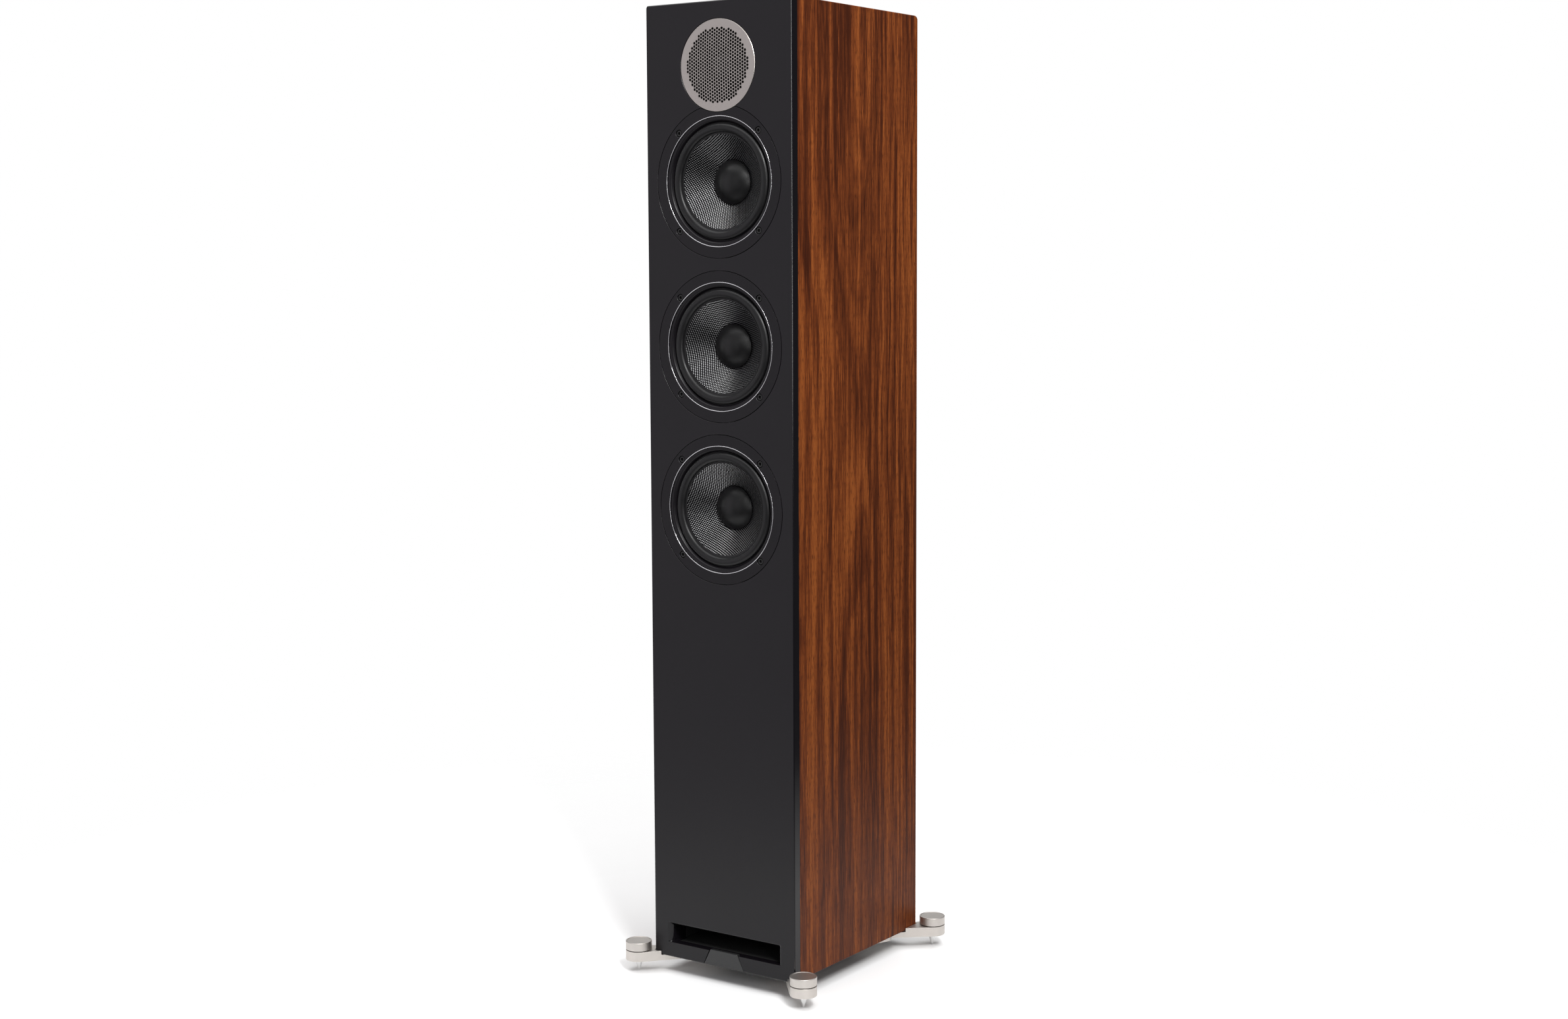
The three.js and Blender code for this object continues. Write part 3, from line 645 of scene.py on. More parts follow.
FINISH = {
    "baffle_black": lacquered_black(),
    "walnut": walnut("walnut back", "x", "z", 30.0, 11.0),
    "base_black": plain_finish("painted base", (0.018, 0.018, 0.018), 0.6, 0.8, 0.05),
    "raw_board": fibreboard(),
    "port_black": plain_finish("port black", (0.012, 0.012, 0.012), 0.7, 0.8, 0.05),
    "wadding": wadding(),
    "badge_black": plain_finish("badge black", (0.016, 0.016, 0.0165), 0.34, 1.5, 0.008),
    "driver_frame": plain_finish(
        "driver frame", (0.0055, 0.0046, 0.0061), 0.34, 1.1, 0.006, Specular_IOR_Level=0.25
    ),
    "trim_polished": polished_metal("polished trim", (0.66, 0.66, 0.67)),
    "surround_rubber": rubber("surround rubber", (0.0080, 0.0078, 0.0084), 0.38),
    "dust_cap": rubber("dust cap", (0.0060, 0.0058, 0.0062), 0.38),
    "spider_cloth": cloth("doped cloth", (0.62, 0.42, 0.17), (0.28, 0.17, 0.06), 0.9),
    "motor_steel": plain_finish("motor steel", (0.07, 0.07, 0.075), 0.5, 0.9, 0.03, Metallic=0.8),
    "tweeter_plate": plain_finish(
        "tweeter plate", (0.003, 0.003, 0.003), 0.6, 0.8, 0.02, Specular_IOR_Level=0.15
    ),
    "satin_nickel": satin_metal("satin nickel", (0.440, 0.410, 0.382), 0.36),
    "silk_dome": cloth("coated silk", (0.035, 0.035, 0.036), (0.015, 0.015, 0.016), 0.3),
    "terminal_plastic": plain_finish("terminal plastic", (0.016, 0.016, 0.0165), 0.48, 0.45, 0.05),
    "plated_brass": satin_metal("plated brass", (0.86, 0.62, 0.26), 0.2),
    "terminal_black": plain_finish("black cap", (0.015, 0.015, 0.015), 0.32, 1.2, 0.01),
    "terminal_red": plain_finish("red cap", (0.45, 0.012, 0.012), 0.32, 1.2, 0.01),
    "circuit_board": printed_board(),
    "copper_coil": wound_copper(),
    "capacitor_film": plain_finish("capacitor film", (0.38, 0.03, 0.02), 0.25, 2.0, 0.01),
    "foot_nickel": cast_metal("foot nickel", (0.60, 0.565, 0.53), 0.42),
    "spike_polished": polished_metal("polished steel", (0.80, 0.80, 0.80)),
}


# -------- cabinet
def baffle():
    """One lacquered board with a soft front edge, rebated for the drivers, tweeter and badge."""
    low, high = BAFFLE_LOW.z, BAFFLE_HIGH.z
    face_back, inner = SIDE_LOW.y - GAP, SIDE_LOW.x - GAP
    edge = ((0, 1.2), (0.02, 1.0), (0.08, 0.86), (0.82, 0.08), (1.0, 0.02), (1.2, 0))
    rows = [(FRONT + depth, inset) for depth, inset in edge] + [(face_back, 0)]
    outside = loft(drawn_in(BAFFLE_HIGH.x, low, high, 3.5, rows, 7))
    board = mesh_object("front_baffle_board", outside)
    foot, top = low + TONGUE["above_foot"], high - TONGUE["below_top"]
    combine(board, block(-inner, inner, face_back - 1, BAFFLE_HIGH.y, foot, top), "UNION")
    for centre in DRIVER_CENTRE.values():
        combine(board, rebate(centre, FLANGE_RADIUS, DRIVER_BORE))
    combine(board, rebate(TWEETER, TWEETER_RADIUS, TWEETER_BORE))
    combine(board, slot_mouth())
    combine(board, prism(badge_outline(0.45), FRONT - 1, FRONT + 5))
    smooth(board, 30)
    place(board, "cabinet", "baffle_black", "front_baffle")


def rebate(centre, flange, bore):
    """The stepped hole for a flange, with a broken edge at the face."""
    radius, edge, floor_depth, through = flange + SEAM, 0.15, 5.8, 30
    profile = [(0, -2), (radius + edge + 2, -2), (radius + edge, 0), (radius, edge),
               (radius, floor_depth), (bore, floor_depth), (bore, through), (0, through)]
    return lathe(profile, centre, segments=160)


def slot_mouth():
    """The port's mouth: its ends and roof swell towards the front, its floor stays flat."""
    def swell(depth, reach):
        run = min(max(depth / reach, 0.0), 1.0)
        return 1 - math.sqrt(1 - (1 - run) ** 2)

    low, high = BAFFLE_LOW.z + SLOT["low"], BAFFLE_LOW.z + SLOT["high"]
    depths = [SLOT["reach"] * (1 - math.cos(math.pi / 2 * k / 15)) for k in range(16)]
    loops = []
    for depth in [-1.0, *depths, SLOT["end"]]:
        wide = SLOT["half"] + SLOT["swell"] * swell(depth, SLOT["reach"])
        top = high + SLOT["roof"] * swell(depth, SLOT["roof_reach"])
        outline = rounded_rectangle(wide, low, top, SLOT["corner"], 4)
        loops.append([(x, FRONT + depth, z) for x, z in outline])
    return loft(loops)


def badge_outline(grow):
    foot, head = BADGE["foot"] + grow, BADGE["head"] + grow
    low, high = BAFFLE_LOW.z - grow, BAFFLE_LOW.z + BADGE["height"] + grow
    return [(-foot, low), (foot, low), (head, high), (-head, high)]


def badge():
    """A blank insert below the slot, with a softened top edge."""
    wedge = prism(badge_outline(-GAP), FRONT, FRONT + BADGE["depth"])
    insert = mesh_object("name_badge_insert", wedge)
    break_edges(insert, 0.55, 4)
    smooth(insert)
    place(insert, "cabinet", "badge_black", "name_badge")


def wrap_shell():
    """The outside of the veneered wrap, with softened edges, before it is cut into panels."""
    half, top, rear = SIDE_HIGH.x, SIDE_HIGH.z, SIDE_HIGH.y
    low, front = SIDE_LOW.z, SIDE_LOW.y
    front_edge, edge, roof_edge = 0.7, 1.3, 6.0
    depths = [front, front + 0.2, front + front_edge]
    depths += [rear - roof_edge + roof_edge * math.sin(math.pi / 2 * k / 9) for k in range(10)]
    loops = []
    for y in depths:
        inset = quarter(front_edge, front + front_edge - y) + quarter(edge, y - (rear - edge))
        roof = top - quarter(roof_edge, y - (rear - roof_edge))
        if y < front + 1:
            roof -= inset
        corner = max(0.25, edge - inset)
        outline = rounded_rectangle(half - inset, low + inset, roof, corner, 5)
        loops.append([(x, y, z) for x, z in outline])
    return loft(loops)


def cut_panel(name, outline, finish):
    """One panel of the wrap: what of the shell lies inside an outline in (x, z)."""
    panel = mesh_object(f"{name}_veneered", wrap_shell())
    combine(panel, prism(outline, SIDE_LOW.y - 5, SIDE_HIGH.y + 5), "INTERSECT")
    smooth(panel, 40)
    place(panel, "cabinet", "walnut", name, finish=finish)


def panels():
    """The sides and the top, mitred where they meet, and the back between them."""
    beyond, mitre_gap, heart = 6, 0.1, 13.0
    inner, outer, top = SIDE_LOW.x, SIDE_HIGH.x + beyond, SIDE_HIGH.z
    mitre_low, mitre_high = top - (SIDE_HIGH.x - inner), top + beyond
    for name, side, seed in (("side_panel_left", -1, 5.0), ("side_panel_right", 1, 2.0)):
        outline = [(side * inner, 0), (side * outer, 0), (side * outer, mitre_high - mitre_gap),
                   (side * inner, mitre_low - mitre_gap)]
        grain = walnut(f"walnut {name}", "y", "z", heart, seed, ("x", SIDE_HIGH.x))
        cut_panel(name, outline, grain)
    outline = [(-outer, mitre_high), (-inner, mitre_low), (inner, mitre_low), (outer, mitre_high)]
    cut_panel("top_panel", outline, walnut("walnut top", "y", "x", heart, 8.0, ("z", top), 0.74))
    back_panel()


def back_panel():
    low, high = BACK_LOW, BACK_HIGH
    panel = mesh_object("back_panel_veneered", block(low.x, high.x, low.y, high.y, low.z, high.z))
    half, rise = CUP_BODY["half"] + GAP, CUP_BODY["rise"] + GAP
    opening = rounded_rectangle(half, CUP.z - rise, CUP.z + rise, 2)
    combine(panel, prism(opening, low.y - 5, high.y + 5))
    break_edges(panel, 0.4, 2)
    smooth(panel)
    place(panel, "cabinet", "walnut", "back_panel")


# -------- cone drivers
def screw_spot(name, turn):
    return DRIVER_CENTRE[name] + Vector((math.cos(turn), 0, math.sin(turn))) * SCREW_CIRCLE


def frame_casting(name):
    """The driver's flange with its rebate for the trim ring, and the basket behind it."""
    outside = [(FLANGE_RADIUS, 0, 0.2), (FLANGE_RADIUS, 5.5), (66, 5.5), (66, 12, 0.8), (48, 58),
               (48, 61, 0.6), (30, 61)]
    inside = [(30, 58.5), (44.5, 58.5), (44.5, 47.3), (50, 47.3), (63, 13, 1), (58, 9.5, 0.5)]
    lip = [(58, 7.2, 0.3), (62.9, 7.2), (62.9, 5.4), (61.5, 5.4, 0.3), (63.9, 1.7, 2.4)]
    trim_rebate = [(67.4, 1.5, 0.2), (67.4, 2.1), (68.4, 2.1), (68.4, 0, 0.1)]
    profile = rounded(outside + inside + lip + trim_rebate)
    centre = DRIVER_CENTRE[name]
    casting = mesh_object(f"{name}_frame_casting", lathe(profile, centre, segments=128))
    screw_seat = [(0, -1), (4.6, -1), (4.15, 0), (3.85, 0.3), (3.85, 3.5), (0, 3.5)]
    for turn in SCREW_TURNS:
        combine(casting, lathe(screw_seat, screw_spot(name, turn), segments=48))
        window = moved(block(-16, 16, 18, 41, 40, 80), turn=turn, axis="Y")
        combine(casting, moved(window, centre))
    if name == "upper":
        reach = TWEETER_RADIUS + SEAM
        bite = [(0, -1), (reach, -1), (reach, 6.5), (0, 6.5)]
        combine(casting, lathe(bite, TWEETER, segments=128))
    smooth(casting, 32)
    place(casting, "cabinet", "driver_frame", f"{name}_frame")


def hexagon(socket):
    """Turns the given radius of a lathe into a hexagon."""
    def ripple(radius, angle):
        across = math.cos(angle % (math.pi / 3) - math.pi / 6)
        return radius / across if radius == socket else radius
    return ripple


def socket_screw(head, socket, height):
    """A cap screw's head, facing forwards, with a hexagon socket."""
    rim = rounded([(socket + 0.25, 0), (head, 0, 0.4), (head, height)])
    profile = [(0, 2.0), (socket, 2.0), (socket, 0.1), *rim, (0, height)]
    return lathe(profile, segments=48, ripple=hexagon(socket))


def driver_screws():
    sunk = Vector((0, 0.8, 0))
    spots = [screw_spot(name, turn) + sunk for name in DRIVERS for turn in SCREW_TURNS]
    screws = together([moved(socket_screw(3.25, 1.5, 2.5), spot) for spot in spots])
    piece("driver_screws", screws, "cabinet", "driver_frame", finish=SCREW_BLACK)


def trim_ring(name):
    profile = rounded([(68.3, 1.8), (68.3, 0.0, 0.3), (67.5, 0.0, 0.35), (67.5, 1.8)], 5)
    piece(f"{name}_trim_ring_bright", lathe(profile, DRIVER_CENTRE[name], segments=160),
          "cabinet", "trim_polished", f"{name}_trim_ring", angle=50)


ROLL = {"radius": 56.2, "half": 5.0, "height": 4.3, "rubber": 0.7, "lip": 5.9, "inner": 49.4}


def surround_profile():
    lip, thick, radius = ROLL["lip"], ROLL["rubber"], ROLL["radius"]

    def arc(half, height, base, order):
        angles = [math.pi * k / 20 for k in order]
        return [(radius + half * math.cos(a), base - height * math.sin(a)) for a in angles]

    outside = [(62.6, lip), (61.7, lip)] + arc(ROLL["half"], ROLL["height"], lip, range(21))
    outside += [(50.9, lip + 0.1), (ROLL["inner"], lip + 0.3), (ROLL["inner"], lip + 0.62)]
    inside = arc(ROLL["half"] - thick, ROLL["height"], lip + thick, range(20, -1, -1))
    return outside + [(51.2, lip + thick)] + inside + [(62.6, lip + 1)]


def surround(name):
    """The half roll, lofted in narrow sectors from the frame to the cone and joined into one
    piece.
    """
    sectors, per_sector = 24, 6
    centre = DRIVER_CENTRE[name]
    profile = surround_profile()
    parts = []
    for k in range(sectors):
        loops = []
        for i in range(per_sector + 1):
            angle = 2 * math.pi * (k + i / per_sector) / sectors
            cos, sin = math.cos(angle), math.sin(angle)
            loops.append([centre + Vector((r * cos, depth, r * sin)) for r, depth in profile])
        part_name = f"{name}_surround_roll" if k == 0 else "sector"
        part = bare_object(part_name, loft(loops, closed=False))
        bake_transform(part)
        parts.append(part)
    roll = join(parts)
    shade(roll, 50)
    roll.data.materials.append(FINISH["surround_rubber"])
    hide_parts(f"{name}_surround")


def join(parts):
    """Joins objects into the first of them and welds where they meet."""
    bpy.ops.object.select_all(action="DESELECT")
    for part in parts:
        part.select_set(True)
    bpy.context.view_layer.objects.active = parts[0]
    bpy.ops.object.join()
    weld(parts[0], 2e-6)
    return parts[0]


WEAVE_TURN = {"upper": -15.0, "middle": -33.0, "lower": 22.0}


def cone(name):
    """The woven cone from the surround down to its neck, where the coil's former starts."""
    slope, outer, rim, neck, bore, end = 0.7, 50.8, 6.9, 13.5, 12.9, 66
    radii = [outer - (outer - neck) * k / 12 for k in range(13)]
    front = [(r, rim + slope * (outer - r)) for r in radii]
    back = [(r, d + 1.2) for r, d in reversed(front)]
    profile = front + [(bore, front[-1][1] + 0.4), (bore, end), (neck, end)] + back
    piece(f"{name}_cone_woven", lathe(profile, DRIVER_CENTRE[name], segments=144),
          f"{name}_diaphragm", "woven_cone", f"{name}_cone", angle=40,
          finish=woven(math.radians(WEAVE_TURN[name]), DRIVER_CENTRE[name]))


def dust_cap(name):
    """A shallow moulded dome glued to the cone, with a small flat rim."""
    radius, rim = 23.4, 25.2
    outside = dome(radius, 10.3, rim, 18)
    inside = [(r * 0.96, depth + 0.9) for r, depth in reversed(outside[:-1])]
    profile = outside + [(radius - 0.9, rim + 0.55)] + inside
    piece(f"{name}_dust_cap_dome", lathe(profile, DRIVER_CENTRE[name], segments=128),
          f"{name}_diaphragm", "dust_cap", f"{name}_dust_cap", angle=45)


# -------- tweeter
GRILLE = {"zone": 40.4, "pitch": 3.42, "hole": 1.53, "bulge": 1.5, "sheet": 0.9, "edge": 0.3}


def grille_holes():
    """Centres of the holes: upright rows, every second one half a pitch higher."""
    pitch = GRILLE["pitch"]
    step = pitch * math.sqrt(3) / 2
    reach = GRILLE["zone"] - GRILLE["hole"] + 0.5
    spots = []
    for i in range(-15, 16):
        for j in range(-14, 15):
            spot = Vector((i * step, (j + 0.5 * (i % 2)) * pitch))
            if spot.length < reach:
                spots.append(spot)
    return spots


def grille():
    """A domed sheet with a hexagonal field of round holes and a chamfered rim."""
    holes = grille_holes()
    sides, hole = 12, GRILLE["hole"]
    flat, edges = [], []

    def loop(centre, radius, count):
        start = len(flat)
        for i in range(count):
            angle = 2 * math.pi * i / count
            flat.append(centre + Vector((math.cos(angle), math.sin(angle))) * radius)
            edges.append((start + i, start + (i + 1) % count))

    for spot in holes:
        loop(spot, hole, sides)
    rim = TWEETER_RADIUS
    for radius in (42.0, 42.6, rim - 1.4, rim - GRILLE["edge"], rim):
        loop(Vector((0, 0)), radius, 144)
    spots, _, triangles, *_ = delaunay_2d_cdt(flat, edges, [], 0, 1e-6)
    nearest = KDTree(len(holes))
    for index, spot in enumerate(holes):
        nearest.insert(spot.to_3d(), index)
    nearest.balance()
    kept = []
    for triangle in triangles:
        a, b, c = (spots[i] for i in triangle)
        middle = (a + b + c) / 3
        if middle.length < rim and nearest.find(middle.to_3d())[2] >= hole * 0.9:
            kept.append(list(triangle))
    build_sheet("tweeter_grille_perforated", spots, kept)


def build_sheet(name, spots, triangles):
    """Gives the flat, perforated sheet its dome and its thickness."""
    zone, rim, edge = GRILLE["zone"], TWEETER_RADIUS, GRILLE["edge"]

    def depth(p):
        r = p.length
        if r > rim - 0.01:
            return edge
        return GRILLE["bulge"] * (min(r, zone) ** 2 / zone ** 2 - 1)

    def back_depth(p):
        if p.length > rim - 0.01:
            return edge + 0.4
        return 1.9 if p.length > 42 else depth(p) + GRILLE["sheet"]

    count = len(spots)
    points = [TWEETER + Vector((p.x, depth(p), p.y)) for p in spots]
    points += [TWEETER + Vector((p.x, back_depth(p), p.y)) for p in spots]
    faces = triangles + [[i + count for i in reversed(t)] for t in triangles]
    sides = dict.fromkeys(side for t in triangles for side in zip(t, t[1:] + t[:1]))
    faces += [[b, a, a + count, b + count] for a, b in sides if (b, a) not in sides]
    sheet = mesh_object(name, (points, faces))
    shape = bmesh_of(sheet)
    loose = [v for v in shape.verts if not v.link_faces]
    bmesh.ops.delete(shape, geom=loose, context="VERTS")
    write_back(shape, sheet)
    shade(sheet, 30)
    place(sheet, "cabinet", "satin_nickel", "tweeter_grille")


def tweeter_dome():
    """The silk dome behind the grille, with its short skirt."""
    radius, skirt = 13.0, 16
    outside = dome(radius, 5.0, 10.0, 12)
    inside = [(r * 0.954, depth + 0.6) for r, depth in reversed(outside)]
    profile = outside + [(radius, skirt), (radius - 0.6, skirt)] + inside
    silk = lathe(profile, TWEETER, segments=72)
    piece("tweeter_dome_silk", silk, "tweeter_diaphragm", "silk_dome", "tweeter_dome", angle=45)


# -------- feet
ARM = {"bottom": 13.5, "top": 24.3, "half": 14.0, "straight": 52.0, "length": 92.0, "pad": 22.0,
       "boss": 14.5, "front_slant": 39, "rear_slant": 51, "screws": (66, 80)}
STEP = {"z": 19.7, "x": 94.8, "y": 123.3}


def arm_plan():
    """Plan of an arm along +X from its boss at the origin."""
    straight, length, half, pad = ARM["straight"], ARM["length"], ARM["half"], ARM["pad"]
    radius, steps = ARM["boss"], 40
    lean = math.asin(half / radius)
    turns = [lean + (2 * math.pi - 2 * lean) * k / steps for k in range(steps + 1)]
    boss = [(radius * math.cos(turn), radius * math.sin(turn)) for turn in turns]
    inner = rounded([
        (straight, -half, 12), (length - 12, -pad, 8), (length, -pad, 3), (length, pad, 3),
        (length - 12, pad, 8), (straight, half, 12),
    ])
    return boss + inner


def arm(corner):
    """The cast arm of a foot, stepped where it runs under the cabinet, and its two screws."""
    centre = FOOT_CENTRE[corner]
    slant = math.radians(ARM["front_slant"] if centre.y < 0 else ARM["rear_slant"])
    turn = math.atan2(
        -math.copysign(math.sin(slant), centre.y), -math.copysign(math.cos(slant), centre.x)
    )
    ahead = Vector((math.cos(turn), math.sin(turn), 0))
    spots = [centre + ahead * reach for reach in ARM["screws"]]
    bar = prism(arm_plan(), ARM["bottom"], ARM["top"], "Z")
    casting = mesh_object(f"arm_{corner}_casting", moved(bar, centre, turn))
    combine(casting, block(-STEP["x"], STEP["x"], -STEP["y"], STEP["y"], STEP["z"], 40))
    bore = [(0, 5), (5.5, 5), (5.5, 18.8), (4.3, 18.8), (4.3, 40), (0, 40)]
    combine(casting, lathe(bore, centre, "Z", 48))
    seat = [(0, 5), (5.4, 5), (5.4, 15.8), (0, 15.8)]
    for spot in spots:
        combine(casting, lathe(seat, spot, "Z", 32))
    break_edges(casting, 0.7, 3)
    smooth(casting)
    place(casting, "cabinet", "foot_nickel", f"arm_{corner}")
    socket, head, low, high = 1.8, 4.7, 13.3, 15.7
    profile = [(0, 14.9), (socket, 14.9), (socket, low), (head - 0.5, low), (head, low + 0.6),
               (head, high), (0, high)]
    screws = together([lathe(profile, spot, "Z", 48, hexagon(socket)) for spot in spots])
    piece(f"arm_{corner}_screws", screws, "cabinet", "foot_nickel", finish=SCREW_BLACK)


def knob(corner):
    """The turning cap on top of the arm: a spun disc with a polished chamfer and a dished top."""
    below = [(0, 31.3), (4.2, 31.3), (4.2, 25.1), (14.5, 25.1, 0.5)]
    above = [(14.5, 34.3, 0.75), (12.9, 34.3, 0.3), (12.5, 34.0, 0.3), (0, 33.8)]
    cap = lathe(rounded(below + above, 5), FOOT_CENTRE[corner], "Z", 96)
    piece(f"knob_{corner}_spun", cap, f"knob_{corner}", "foot_nickel", f"knob_{corner}", angle=40,
          finish=SPUN_NICKEL)


def spike(corner):
    """The polished cone and its threaded stud, with a blackened lock collar round it."""
    body, centre = f"spike_{corner}", FOOT_CENTRE[corner]
    tip = rounded([(0, 0), (0.5, 0, 0.15), (4.0, 10.4, 0.3), (3.8, 10.6)], 3)
    stud = thread(10.7, 30.2, 3.85, 3.45, 0.62, 1.25)
    pin = lathe(tip + stud + [(3.4, 31), (0, 31)], centre, "Z", 64)
    piece(f"{body}_turned", pin, body, "spike_polished", body, angle=40)
    ring = rounded([(3.95, 10.5), (5.0, 10.5, 0.3), (5.0, 13.2, 0.3), (3.95, 13.2)], 3)
    collar = lathe(ring, centre, "Z", 64)
    piece(f"{body}_collar", collar, body, "spike_polished", angle=40, finish=SCREW_BLACK)


# -------- terminals
def cup_loops(size, corner, rows, shrink=1):
    low, high = CUP.z - size["rise"], CUP.z + size["rise"]
    return drawn_in(size["half"], low, high, corner, rows, shrink=shrink)


def terminal_cup():
    """The moulded plate with the well that holds the binding posts, and its four screws."""
    edge = ((122.8, 0), (124.5, 0), (125.1, 0.2), (125.4, 0.55), (125.5, 1.1))
    cup = mesh_object("terminal_cup_moulding", loft(cup_loops(CUP_PLATE, 5, edge)))
    half, rise = CUP_BODY["half"], CUP_BODY["rise"]
    combine(cup, block(-half, half, 105.2, 123, CUP.z - rise, CUP.z + rise), "UNION")
    well = ((130, -0.8), (125.5, -0.8), (125.0, -0.3), (124.4, 0), (112, 2.2), (109.5, 3),
            (108.4, 5))
    combine(cup, loft(cup_loops(CUP_WELL, 6, well, shrink=0)))
    post_hole = [(0, 100), (3.3, 100), (3.3, 112), (0, 112)]
    for x in (-POST_OFFSET, POST_OFFSET):
        combine(cup, lathe(post_hole, CUP + Vector((x, 0, 0)), segments=32))
    screw_hole = [(0, 127), (3.6, 127), (3.6, 124.2), (1.5, 123.3), (0, 123.3)]
    spots = [CUP + Vector((x, 0, z)) for x in (-50, 50) for z in (-35, 35)]
    for spot in spots:
        combine(cup, lathe(screw_hole, spot, segments=32))
    smooth(cup, 32)
    place(cup, "cabinet", "terminal_plastic", "terminal_cup")
    points, faces = socket_screw(3.1, 1.2, 1.6)
    head = [Vector((p.x, -p.y, p.z)) for p in points], faces
    screws = together([moved(head, spot + Vector((0, 125.2, 0))) for spot in spots])
    piece("terminal_cup_screws", screws, "cabinet", "terminal_plastic", finish=SCREW_BLACK)


def binding_post(side, x):
    """A plated post with its threaded stud, a coloured ring round its foot, and its cap."""
    centre, seat = CUP + Vector((x, 0, 0)), 108.9
    shank = [(0, 94.6), (2.8, 94.6), (2.8, seat)]
    shoulder = rounded([(6.9, seat), (6.9, seat + 2.8, 0.4), (2.9, seat + 2.8)])
    stud = thread(seat + 4.2, 131.2, 2.85, 2.5, 0.35, 0.7)
    pin = lathe(shank + shoulder + stud + [(2.2, 132.3), (0, 132.3)], centre, segments=48)
    piece(f"post_{side}_plated", pin, "cabinet", "plated_brass", f"post_{side}", angle=45)
    colour = "terminal_red" if side == "right" else "terminal_black"
    ring = rounded([(7.3, 108.5), (9.2, 108.5), (9.2, 110.6, 0.5), (7.3, 110.6, 0.4)])
    piece(f"post_{side}_ring", lathe(ring, centre, segments=64), "cabinet", colour, angle=45)
    knurled_cap(f"nut_cap_{side}", centre, colour)


def knurled_cap(name, centre, colour):
    bore, grip = 5.3, 8.2

    def ripple(radius, angle):
        return radius + 0.22 * math.cos(30 * angle) if radius > grip - 0.15 else radius

    outside = rounded([
        (7.9, 112.4, 0.3), (grip, 113.2, 0.3), (grip, 128.0, 0.4), (7.2, 129.7, 0.6),
        (4.2, 129.7, 0.3),
    ], 3)
    profile = [(bore, 112.4), *outside, (3.8, 128.2), (3.8, 127.7), (bore, 127.7)]
    cap = lathe(profile, centre, segments=240, ripple=ripple)
    piece(f"{name}_knurled", cap, name, colour, name, angle=45)


# -------- carried-over CAD nodes
def finish_inner_nodes():
    """The CAD nodes that stay as they are take their slot's material."""
    slots = {row["node"]: row["material_slot"] for row in frame["record"]["subparts"]}
    for name, obj in nodes.items():
        if obj.hide_render:
            continue
        obj.data.materials.clear()
        obj.data.materials.append(FINISH[slots[name]])
        shade(obj, 35)


# -------- studio
def softbox(name, spot, target, width, height, power, colour=(1, 1, 1)):
    light = bpy.data.lights.new(name, "AREA")
    light.shape = "RECTANGLE"
    light.size, light.size_y = width, height
    light.energy = power
    light.color = colour
    holder = scene_object(name, light)
    holder.location = spot
    holder.rotation_euler = (Vector(target) - Vector(spot)).to_track_quat("-Z", "Y").to_euler()
    holder.visible_camera = False


def lights():
    softbox("key", (2.0, -1.6, 2.6), (0, 0, 1.05), 0.6, 1.1, 80)
    softbox("edge", (2.05, -1.65, 0.98), (0, 0, 0.98), 0.16, 1.05, 9)
    softbox("front", (0.0, -3.0, 1.1), (0, 0, 0.8), 0.9, 2.2, 4.8)
    softbox("front_left", (-1.65, -2.35, 0.72), (0, 0, 0.7), 1.7, 2.9, 13, (0.98, 0.94, 1.0))
    softbox("strip", (-2.3, -0.9, 1.0), (0, 0, 0.6), 0.4, 1.8, 4)
    softbox("rear_left", (-1.5, 2.0, 0.9), (0, 0, 0.5), 2.4, 1.9, 7)
    softbox("top", (0.0, 0.0, 3.0), (0, 0, 0), 4.0, 4.0, 135)


def world():
    """White behind the object, and a dimmer studio all round for light and reflections."""
    made = bpy.data.worlds.new("studio")
    made.use_nodes = True
    new, link = made.node_tree.nodes.new, made.node_tree.links.new
    made.node_tree.nodes.clear()
    choose = new("ShaderNodeMixShader")
    link(new("ShaderNodeLightPath").outputs["Is Camera Ray"], choose.inputs[0])
    for index, colour, strength in ((1, (0.97, 0.98, 1, 1), 0.09), (2, (1, 1, 1, 1), 1)):
        glow = new("ShaderNodeBackground")
        glow.inputs["Color"].default_value = colour
        glow.inputs["Strength"].default_value = strength
        link(glow.outputs[0], choose.inputs[index])
    link(choose.outputs[0], new("ShaderNodeOutputWorld").inputs[0])
    bpy.context.scene.world = made


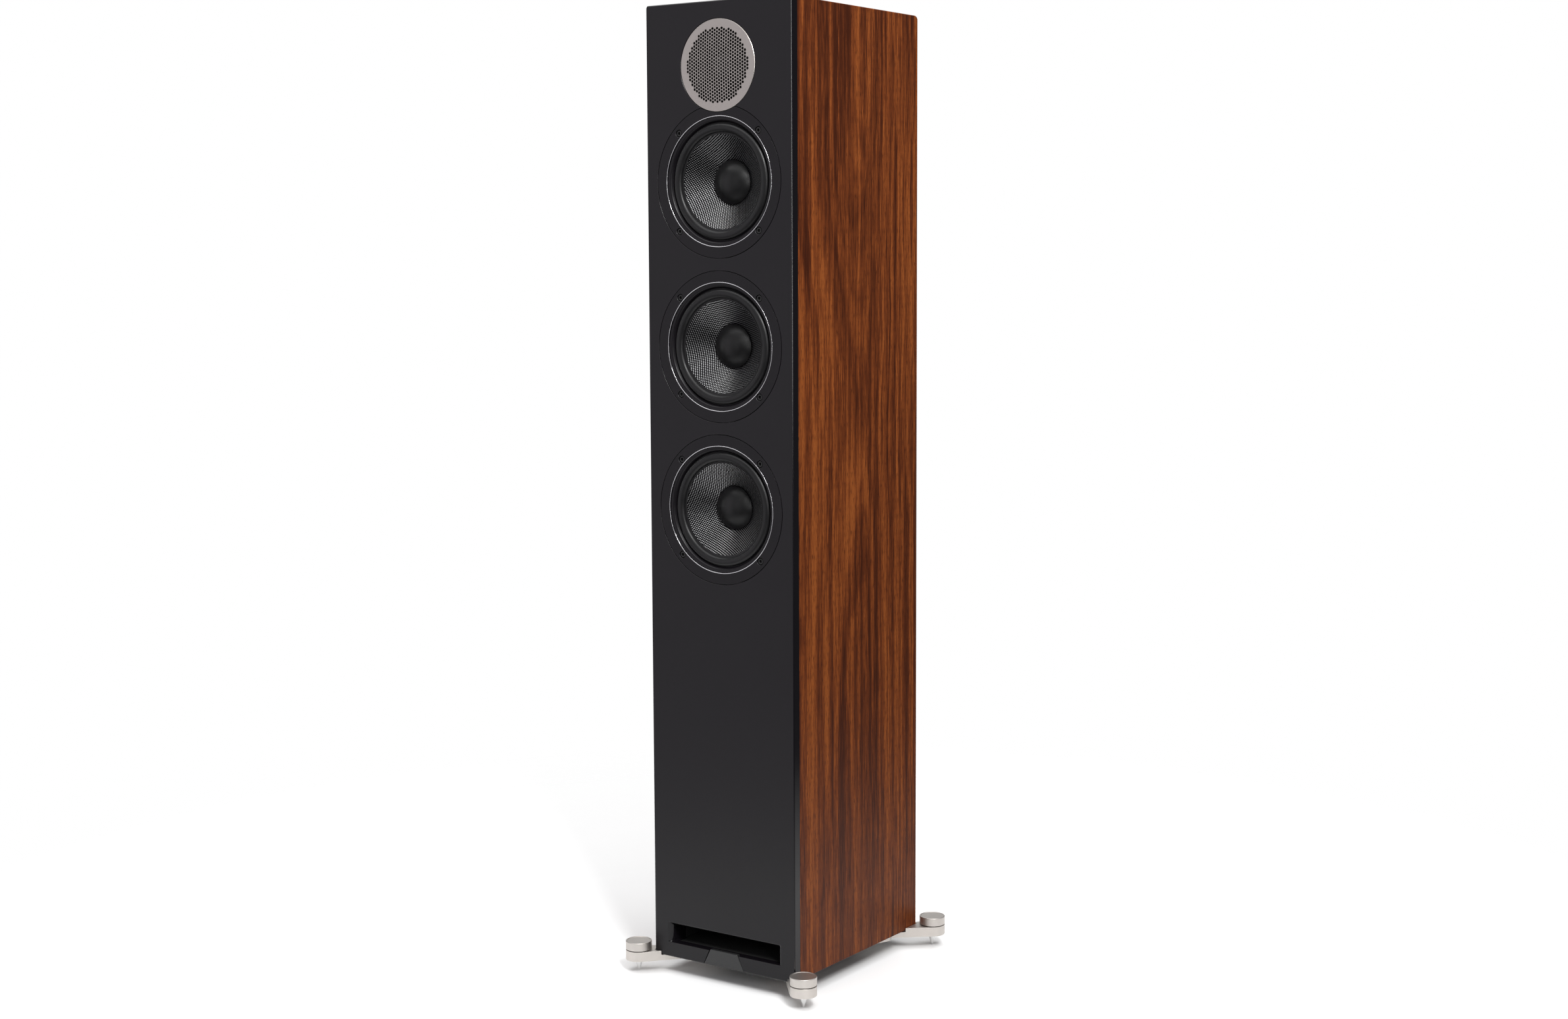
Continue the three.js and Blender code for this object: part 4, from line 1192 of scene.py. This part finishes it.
def floor():
    """A pale studio floor that fades into the white behind it."""
    corners = [Vector((2600 * x, 2600 * y, 0)) for x, y in ((-1, -1), (1, -1), (1, 1), (-1, 1))]
    ground = mesh_object("floor", (corners, [[0, 1, 2, 3]]))
    made = Finish("pale floor", (0.93, 0.93, 0.93), Roughness=0.75, Specular_IOR_Level=0.15)
    grain = made.noise(60, 3)
    made.colour(made.mix(grain, (0.925, 0.925, 0.925), (0.94, 0.94, 0.94)))
    fade = made.spread(made.length(made.place), 400, 1100, 0, 1)
    clear = made.node("ShaderNodeBsdfTransparent")
    blend = made.node("ShaderNodeMixShader")
    for socket, value in zip(blend.inputs, (fade, made.shader.outputs[0], clear.outputs[0])):
        made.feed(socket, value)
    made.feed(made.tree.nodes["Material Output"].inputs["Surface"], blend.outputs[0])
    ground.data.materials.append(made.material)
    ground.visible_diffuse = False


CAMERA = {
    "place": (1.3903, -1.9977, 0.7843), "yaw": 34.897, "pitch": 5.967, "roll": 0.232,
    "lens": 50.82, "shift": -0.012,
}


def camera():
    yaw, pitch, roll = (math.radians(CAMERA[key]) for key in ("yaw", "pitch", "roll"))
    flat = math.cos(pitch)
    ahead = Vector((-math.sin(yaw) * flat, math.cos(yaw) * flat, -math.sin(pitch)))
    level = Vector((math.cos(yaw), math.sin(yaw), 0))
    down = ahead.cross(level)
    right = level * math.cos(roll) + down * math.sin(roll)
    up = level * math.sin(roll) - down * math.cos(roll)
    data = bpy.data.cameras.new("camera")
    data.sensor_fit = "HORIZONTAL"
    data.sensor_width = 36
    data.lens = CAMERA["lens"]
    data.shift_y = CAMERA["shift"]
    data.clip_end = 50
    holder = scene_object("camera", data)
    turn = Matrix((right, up, -ahead)).transposed()
    holder.matrix_world = Matrix.Translation(CAMERA["place"]) @ turn.to_4x4()
    bpy.context.scene.camera = holder
    bpy.context.scene.view_settings.view_transform = "Standard"


# -------- assembly
SCREW_BLACK = plain_finish("black screw", (0.03, 0.03, 0.03), 0.3, 0.8, 0.01, Metallic=0.7)
SPUN_NICKEL = spun_metal("spun nickel", (0.57, 0.537, 0.505), 0.42)

baffle()
badge()
panels()
for driver in DRIVERS:
    frame_casting(driver)
    trim_ring(driver)
    surround(driver)
    cone(driver)
    dust_cap(driver)
driver_screws()
grille()
tweeter_dome()
for foot in CORNERS:
    arm(foot)
    knob(foot)
    spike(foot)
terminal_cup()
binding_post("left", -POST_OFFSET)
binding_post("right", POST_OFFSET)
finish_inner_nodes()
lights()
world()
floor()
camera()
